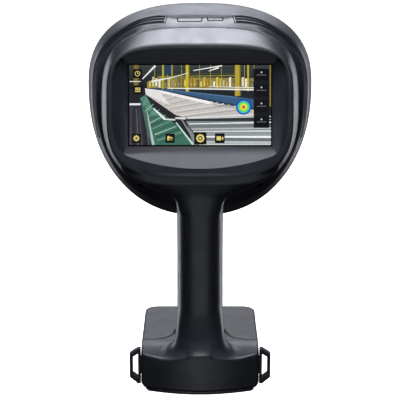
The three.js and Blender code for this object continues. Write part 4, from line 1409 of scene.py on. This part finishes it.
def sound_holes():
    """Curved arms of holes round the middle of the panel, clear of the lamps."""
    for arm in range(ARMS):
        for k in range(HOLES_IN_ARM):
            radius = ARM_START + ARM_STEP * k
            angle = arm * 2 * math.pi / ARMS + ARM_TWIST * k + ARM_TURN
            x, z = radius * math.cos(angle), LENS_Z + 1 + radius * math.sin(angle)
            if abs(abs(x) - LAMP_X) > LAMP_CLEAR or abs(z - LENS_Z) > LAMP_CLEAR:
                yield x, z, HOLE_RADIUS, 16


def build_microphone_panel():
    turn = (np.arange(200) + 0.5) * 2 * math.pi / 200
    holes = OPENINGS + list(sound_holes())
    loops = [np.stack(egg_point(HEAD, turn, PANEL_INSET + GAP), -1)]
    loops += [circle(*hole) for hole in holes]
    points, edges = [], []
    for loop in loops:
        first, count = len(points), len(loop)
        points += [Vector(p) for p in loop]
        edges += [(first + i, first + (i + 1) % count) for i in range(count)]
    flat, _, faces, _, _, _ = delaunay_2d_cdt(points, edges, [], 1, 1e-6)
    flat = np.array([tuple(p) for p in flat])
    hole_x, hole_z, hole_radius, _ = np.array(holes).T
    kept = []
    for face in faces:
        x, z = flat[face].mean(0)
        if (np.hypot(x - hole_x, z - hole_z) > hole_radius * 0.995).all():
            kept.append(tuple(face))
    count = len(flat)
    sides = {side for face in kept for side in zip(face, face[1:] + face[:1])}
    walls = [(b, a, a + count, b + count) for a, b in sorted(sides) if (b, a) not in sides]
    backs = [tuple(i + count for i in face[::-1]) for face in kept]
    front = upright_plane(*flat.T, PANEL_FRONT)
    points = np.concatenate([front, front - (0, PANEL_THICK, 0)])
    skin = mesh_object("microphone_panel_skin", points, kept + backs + walls)
    make_outward(skin)
    bevelled(skin, 0.22, 50, 1)
    finish_piece(skin, "housing", BLACK_FINISH, "microphone_panel")


def build_camera_parts():
    """The turned pieces. A profile is radius and y, and each row ends with its number of sides."""
    bezel = [(9.0, 37.6), (13.0, 37.6), (13.0, 42.3), (12.85, 42.75), (12.5, 43.05), (12.1, 43.2)]
    bezel += [(11.6, 43.1), (9.75, 41.95), (9.5, 41.75), (9.2, 41.65), (9.0, 41.4), (9.0, 40.6)]
    window = [(0, 38.6), (8.5, 38.6), (8.7, 38.8), (8.7, 39.8), (8.5, 40.0), (0, 40.0)]
    barrel = [(0, 23), (8.4, 23), (8.4, 33), (7.4, 34), (7.4, 38.0), (7.2, 38.2), (6.9, 38.2), (6.8, 37.9)]
    barrel += [(6.35, 37.9), (6.25, 37.4), (5.8, 37.4), (5.7, 36.9), (5.2, 36.9), (5.1, 36.4)]
    barrel += [(4.6, 36.4), (4.4, 35.9), (3.3, 36.2), (2.2, 36.42), (1.1, 36.55), (0, 36.6)]
    lamp = [(0, 36.9), (4, 36.9), (4, 41.3), (3.85, 41.65), (3.6, 41.8)]
    for ring in (3.2, 2.5, 1.8, 1.1):
        lamp += [(ring + 0.3, 41.95), (ring, 42.3 - ring * 0.06), (ring - 0.25, 41.9)]
    lamp += [(0.6, 42.35), (0, 42.42)]
    for name, profile, x, finish, sides in (
        ("camera_bezel", bezel, 0, BLACK_FINISH, 96),
        ("camera_window", window, 0, (SMOKED_GLASS, "cover_glass"), 96),
        ("camera_barrel", barrel, 0, BARREL_FINISH, 96),
        ("lamp_lens_left", lamp, -LAMP_X, (LAMP_LENS, "cover_glass"), 64),
        ("lamp_lens_right", lamp, LAMP_X, (LAMP_LENS, "cover_glass"), 64),
    ):
        finish_piece(lathe(f"{name}_skin", profile, (x, LENS_Z), sides), "housing", finish, name)


# ---------- display


def build_glass():
    """The cover glass: a sheet with a rounded edge."""
    rings = []
    profile = ((0.5, -1.4), (0.1, -1.3), (0, -1.1), (0, -0.35), (0.06, -0.12), (0.2, -0.02), (0.5, 0.0))
    for inset, w in profile:
        half, tall = GLASS_HALF - inset, GLASS_TALL - inset
        outline = rounded_rectangle((-half, -tall), (half, tall), 1.4, 8)
        rings.append(from_display(*outline.T, w))
    skin = stacked("touch_glass_skin", rings, sharp=40)
    finish_piece(skin, "housing", GLASS_FINISH, "touch_glass")


def ribbon(x0, y0, x1, y1, wide0, wide1):
    """A straight tapering strip."""
    dx, dy = x1 - x0, y1 - y0
    size = math.hypot(dx, dy)
    nx, ny = -dy / size, dx / size
    ends = ((x0, y0, -wide0), (x1, y1, -wide1), (x1, y1, wide1), (x0, y0, wide0))
    return [(x + nx * wide, y + ny * wide) for x, y, wide in ends]


def between(a, b, t):
    return (a[0] + (b[0] - a[0]) * t, a[1] + (b[1] - a[1]) * t)


def tint(a, b, t):
    """A hex colour part of the way between two others."""
    pairs = [(int(a[i : i + 2], 16), int(b[i : i + 2], 16)) for i in (1, 3, 5)]
    return "#" + "".join(f"{round(p + (q - p) * t):02x}" for p, q in pairs)


TILE_DARK = "#12130f"
TILE_INK = "#e6d27a"


def icon_tile(x, y, size, kind):
    """A dark tile with a plain icon and no lettering."""
    r = size * 0.3

    def disc(share, sides, colour=TILE_INK):
        return colour, circle(x, y, r * share, sides)

    def bar(*ends_and_widths):
        x0, y0, x1, y1, wide0, wide1 = (r * value for value in ends_and_widths)
        return TILE_INK, ribbon(x + x0, y + y0, x + x1, y + y1, wide0, wide1)

    def patch(*corners, colour=TILE_INK):
        return colour, [(x + r * across, y + r * up) for across, up in corners]

    teeth = [bar(0, 0, across, up, 0.22, 0.2) for across, up in circle(0, 0, 1.15, 8)]
    icons = {
        "gear": teeth + [disc(0.82, 20), disc(0.4, 14, TILE_DARK)],
        "folder": [
            patch((-1, -0.8), (0.8, -0.8), (0.8, 0.45), (0, 0.45), (-0.25, 0.8), (-1, 0.8)),
            patch((-0.6, -0.8), (0.8, -0.8), (1.2, 0.1), (-0.3, 0.1), colour="#877c4b"),
        ],
        "camera": [disc(1.15, 8), disc(0.62, 18, TILE_DARK), disc(0.34, 14)],
        "film": [patch(*rectangle(-1.1, -0.7, 0.45, 0.7)), patch((0.55, 0), (1.2, -0.65), (1.2, 0.65))],
        "clock": [disc(1, 20), disc(0.76, 18, TILE_DARK)]
        + [bar(0, 0, 0, 0.6, 0.1, 0.1), bar(0, 0, 0.5, 0, 0.1, 0.1)],
        "list": [patch(*rectangle(-1, k * 0.62 - 0.18, 1, k * 0.62 + 0.18)) for k in (-1, 0, 1)],
    }
    half = size / 2
    return [(TILE_DARK, rectangle(x - half, y - half, x + half, y + half))] + icons[kind]


def hall_scene():
    """A conveyor hall drawn in flat shapes, in millimetres from the picture's lower left corner."""
    wide, tall = PICTURE_WIDE, PICTURE_TALL
    far = (12.2, 44.0)
    shapes = []

    def draw(colour, outline):
        shapes.append((colour, outline))

    draw("#23272a", rectangle(0, 0, wide, tall))
    for k in range(7):
        shade = tint("#1a1d20", "#3c4140", k / 6)
        draw(shade, rectangle(0, 43.5 + k * 2.7, wide, 46.0 + k * 2.7))
    draw("#8d8248", [(14, 44.5), (99, 43), (99, 52), (24, 53), (14, 49)])
    goods = ["#d2b53a", "#e6dfc4", "#b79a30", "#77704c", "#e3c541"]
    goods += ["#c9b98a", "#a9872c", "#efe9d8", "#5f5a3c"]
    for k in range(34):
        x = 15.5 + 2.5 * k
        colour = goods[(k * 5 + k // 3) % len(goods)]
        top = 49.5 + 1.1 * ((k * 7) % 4) - 0.04 * (k - 10) * (k < 10)
        draw(colour, rectangle(x, 44.8 + 0.5 * (k % 3), x + 1.9, top))
        draw(tint(colour, "#1c1d1c", 0.5), rectangle(x + 1.5, 45, x + 1.9, top - 0.6))
        draw(tint(colour, "#ffffff", 0.35), rectangle(x + 0.3, 46.0 + 0.4 * (k % 4), x + 1.1, 48.2))
    for x in (20, 30, 41, 55, 63.5, 72, 90, 97.5):
        draw("#a9a24a", ribbon(x, 44, x, tall, 0.22, 0.22))
    for y, colour in ((53.4, "#9c9a3c"), (55.2, "#4d5230"), (59.5, "#2d3340")):
        draw(colour, ribbon(22, y, 86, y + 0.8, 0.28, 0.28))
    draw("#2b3f63", rectangle(27.5, 55, 33, 62.3))
    for x, w, low, colour in (
        (25.8, 1.7, 43, "#b6b12e"), (33, 1.3, 43, "#a89b2c"),
        (44.2, 3.0, 41.5, "#cdbb35"), (92.2, 1.6, 42, "#cdb23a"),
    ):
        draw(colour, rectangle(x, low, x + w, tall))
        draw(tint(colour, "#2a2a18", 0.5), rectangle(x + w * 0.72, low, x + w, tall))
    draw("#b9a03a", rectangle(82.6, 38.2, 87.4, tall))
    draw("#6d6230", rectangle(86.2, 38.2, 87.4, tall))
    draw("#7b6b2c", rectangle(3.6, 40, 7.4, tall))
    draw("#8d7c33", rectangle(109.6, 30, wide, tall))
    for x0, y0, x1, y1, w0, w1 in (
        (10.5, 51.5, 20.5, 62, 0.4, 0.9), (17.5, 49.4, 35, 53, 0.7, 0.3), (35, 53, 46, 56.2, 0.3, 0.25),
        (50, 58, 72.5, 62, 0.3, 0.6), (62, 57.6, 70, 60.4, 0.2, 0.7), (30, 44.2, 99, 43, 0.35, 0.55),
        (62, 45.6, 99, 44.6, 0.2, 0.3), (0.4, 32, 9, 32, 0.5, 0.5), (0.4, 49.5, 9, 49.5, 0.3, 0.3),
    ):
        draw("#eef1ee", ribbon(x0, y0, x1, y1, w0, w1))
    beam_top = [far, (28, 43.6), (84, 37.6), (99, 35.6)]
    beam_low = [(99, 28.5), (84, 30.3), (50, 37.5), (26, 42.4)]
    draw("#3a5c80", beam_top + beam_low)
    draw("#56799b", [(28, 43.6), (84, 37.6), (84, 36.6), (28, 43.1)])
    draw("#2c4665", [(26, 42.4), (50, 37.5), (84, 30.3), (84, 31.6), (50, 38.4), (26, 42.8)])
    bed_far, bed_near = (12.5, 44.2), (13.2, 39.2)
    bed_right, bed_low = (99, 27.2), (99, 21.4)
    bed = [bed_far, (26, 42.3), (60, 34), bed_right, bed_low, (44, 21), (34, 24), bed_near]
    draw("#c4bfbb", bed)
    for k in range(26):
        t = (k / 26) ** 1.6
        start = between(bed_far, (99, 27.2), t)
        end = between(bed_near, (44, 20.8), t)
        shade = ("#dedad7", "#aca7a3", "#cfcbc7")[k % 3]
        draw(shade, ribbon(*start, *end, 0.12 + 0.35 * t, 0.12 + 0.3 * t))
    draw("#f5f3f1", [bed_far, (26, 42.3), (66, 33.3), (62, 31.8), (27, 40.2)])
    draw("#e7e3e0", [bed_near, bed_far, (24, 41.6), (32, 31)])
    for k in range(16):
        x = 66 + k * 1.1
        draw("#4c5560", ribbon(x, 31.9 - k * 0.14, x + 0.35, 30.6 - k * 0.14, 0.16, 0.16))
    draw("#dcdcdc", [(46, 21.8), (99, 24.5), (99, 23.0), (46, 20.6)])
    front = [(44, 20.6), (99, 22.6), (99, 14.5), (wide, 14.2), (wide, 0), (50, 0)]
    draw("#7d8487", front)
    for k in range(11):
        t = k / 11
        left = between((44.5, 20.4), (56, -1.5), t)
        right_y = 22.2 - 25 * t
        shade = ("#d3d7d8", "#99a0a3", "#f4f6f6", "#6d7477", "#bcc1c3")[k % 5]
        width = 0.35 + 0.75 * t
        draw(shade, ribbon(*left, wide, right_y, width * 0.7, width * 1.1))
    draw("#2f3436", ribbon(44, 19.4, 99, 20.1, 0.9, 1.4))
    guard = [(8.6, 36.5), (13, 39), (18.5, 29), (33, 19.6), (41, 10), (51, 0), (17.5, 0), (13.5, 12)]
    draw("#41705f", guard)
    draw("#5b8d7a", [(8.6, 36.5), (13, 39), (18.5, 29), (26, 24), (20, 22), (14, 27)])
    for k in range(15):
        t = k / 15
        top = between((12.5, 38.4), (46, 6), t)
        foot = between((9.6, 33), (24, -1), t)
        shade = ("#27493d", "#76a191", "#355e50", "#a9c6ba")[k % 4]
        draw(shade, ribbon(*top, *foot, 0.16 + 0.2 * t, 0.2 + 0.3 * t))
    for x0, y0, x1, y1, w0, w1, shade in (
        (19, 28.6, 28, 20, 0.5, 0.9, "#eef2f0"), (27, 20.2, 36, 19.6, 0.5, 0.6, "#dfe4e2"),
        (13.4, 38.8, 38, 21.2, 0.35, 0.8, "#24282a"), (36, 21, 44, 20.6, 0.6, 0.7, "#e8ebeb"),
        (36.6, 17.5, 50, 0, 0.5, 1.0, "#bfe0d2"), (41, 20, 53, 0, 0.5, 0.8, "#8a8f92"),
        (44, 18, 57, 0, 0.3, 0.6, "#33383a"), (14, 26, 19, 0, 0.3, 1.1, "#b9c2c4"),
    ):
        draw(shade, ribbon(x0, y0, x1, y1, w0, w1))
    draw("#35343c", [(0, 0), (13.5, 0), (12, 14), (9.6, 27), (8.6, 31), (0, 31)])
    for k in range(6):
        x = 1 + k * 2.1
        shade = ("#4a4852", "#2a2930", "#5d5a63")[k % 3]
        draw(shade, ribbon(x + 0.6, 30 - k, x * 1.35, 0, 0.25, 0.6))
    draw("#e9ecf2", ribbon(0.4, 31.5, 8.8, 31.5, 0.55, 0.5))
    shapes += heat_spot(89.4, 29.6)
    for x, y, size, kind in (
        (5.7, 5.2, 7.2, "gear"), (32, 5.2, 7.2, "folder"), (55.6, 5.2, 9.6, "camera"),
        (70.8, 5.2, 7.6, "film"), (6.6, 55.6, 7.0, "clock"), (6.8, 43.0, 7.0, "list"),
    ):
        shapes += icon_tile(x, y, size, kind)
    draw("#1a1b20", rectangle(97.2, 13.3, 109.4, 59.6))
    for y, tall_tile in ((54.6, 8.6), (42.6, 9.6), (30.2, 9.2), (18.0, 8.4)):
        draw("#101115", rectangle(97.6, y - tall_tile / 2, 109.0, y + tall_tile / 2))
        draw("#6f7076", rectangle(99.6, y - 0.25, 107.0, y + 0.25))
        draw("#c9cacd", circle(103.3, y + tall_tile * 0.24, 0.7, 10))
    return shapes


def heat_spot(x, y):
    rings = (
        (6.0, "#1e3f9e"), (5.3, "#2f6fd0"), (4.7, "#35c3d6"), (4.2, "#46d68a"), (3.5, "#7fe04e"),
        (2.8, "#c9ec4a"), (2.1, "#f0e04a"), (1.5, "#f2a83a"), (1.0, "#e8552c"), (0.55, "#c9201c"),
    )
    return [(colour, circle(x, y, radius, 40)) for radius, colour in rings]


PICTURE_LIFT, PICTURE_THICK = 0.06, 0.04


def build_picture():
    """Cuts the drawing's shapes where they overlap, so that the picture is one flat sheet."""
    shapes = hall_scene()
    points, faces = [], []
    for _, outline in shapes:
        first = len(points)
        turn = sum(x0 * y1 - x1 * y0 for (x0, y0), (x1, y1) in zip(outline, outline[1:] + outline[:1]))
        ordered = outline if turn > 0 else outline[::-1]
        points += [Vector((min(max(x, 0), PICTURE_WIDE), min(max(y, 0), PICTURE_TALL))) for x, y in ordered]
        faces.append(list(range(first, len(points))))
    flat, _, parts, _, _, origins = delaunay_2d_cdt(points, [], faces, 4, 1e-4)
    flat = np.array([tuple(p) for p in flat])
    world = from_display(flat[:, 0] - PICTURE_WIDE / 2, flat[:, 1] - PICTURE_TALL / 2, PICTURE_LIFT)
    kept = [(part, max(origin)) for part, origin in zip(parts, origins) if origin]
    mesh = bpy.data.meshes.new("display_picture")
    mesh.from_pydata((world * MM).tolist(), [], [part for part, _ in kept])
    colours = mesh.color_attributes.new("picture", "FLOAT_COLOR", "CORNER")
    values = [linear(shapes[origin][0]) for part, origin in kept for _ in part]
    colours.data.foreach_set("color", np.array(values).ravel())
    picture = linked("display_picture", mesh)
    applied(picture, SOLIDIFY={"thickness": PICTURE_THICK * MM, "offset": -1})
    finish_piece(picture, "housing", (PICTURE, "cover_glass"))


build_front_housing()
build_rear_shell()
build_grilles()
cut_recess()
build_flaps()
build_screws()
build_springs()
build_microphone_panel()
build_camera_parts()
build_glass()
build_picture()

CAD_FINISHES = {
    "charcoal_shell": CHARCOAL, "black_plastic": BLACK, "cover_glass": DARK_GLASS, "rubber": RUBBER,
    "mesh_fabric": CLOTH, "circuit_board": BOARD, "steel": STEEL, "aluminium": ALUMINIUM,
    "contacts": CONTACTS, "cell": CELL,
}
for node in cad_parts.values():
    for slot in node.material_slots:
        key = (slot.material.name if slot.material else "").split(".")[0]
        slot.material = CAD_FINISHES.get(key, BLACK)
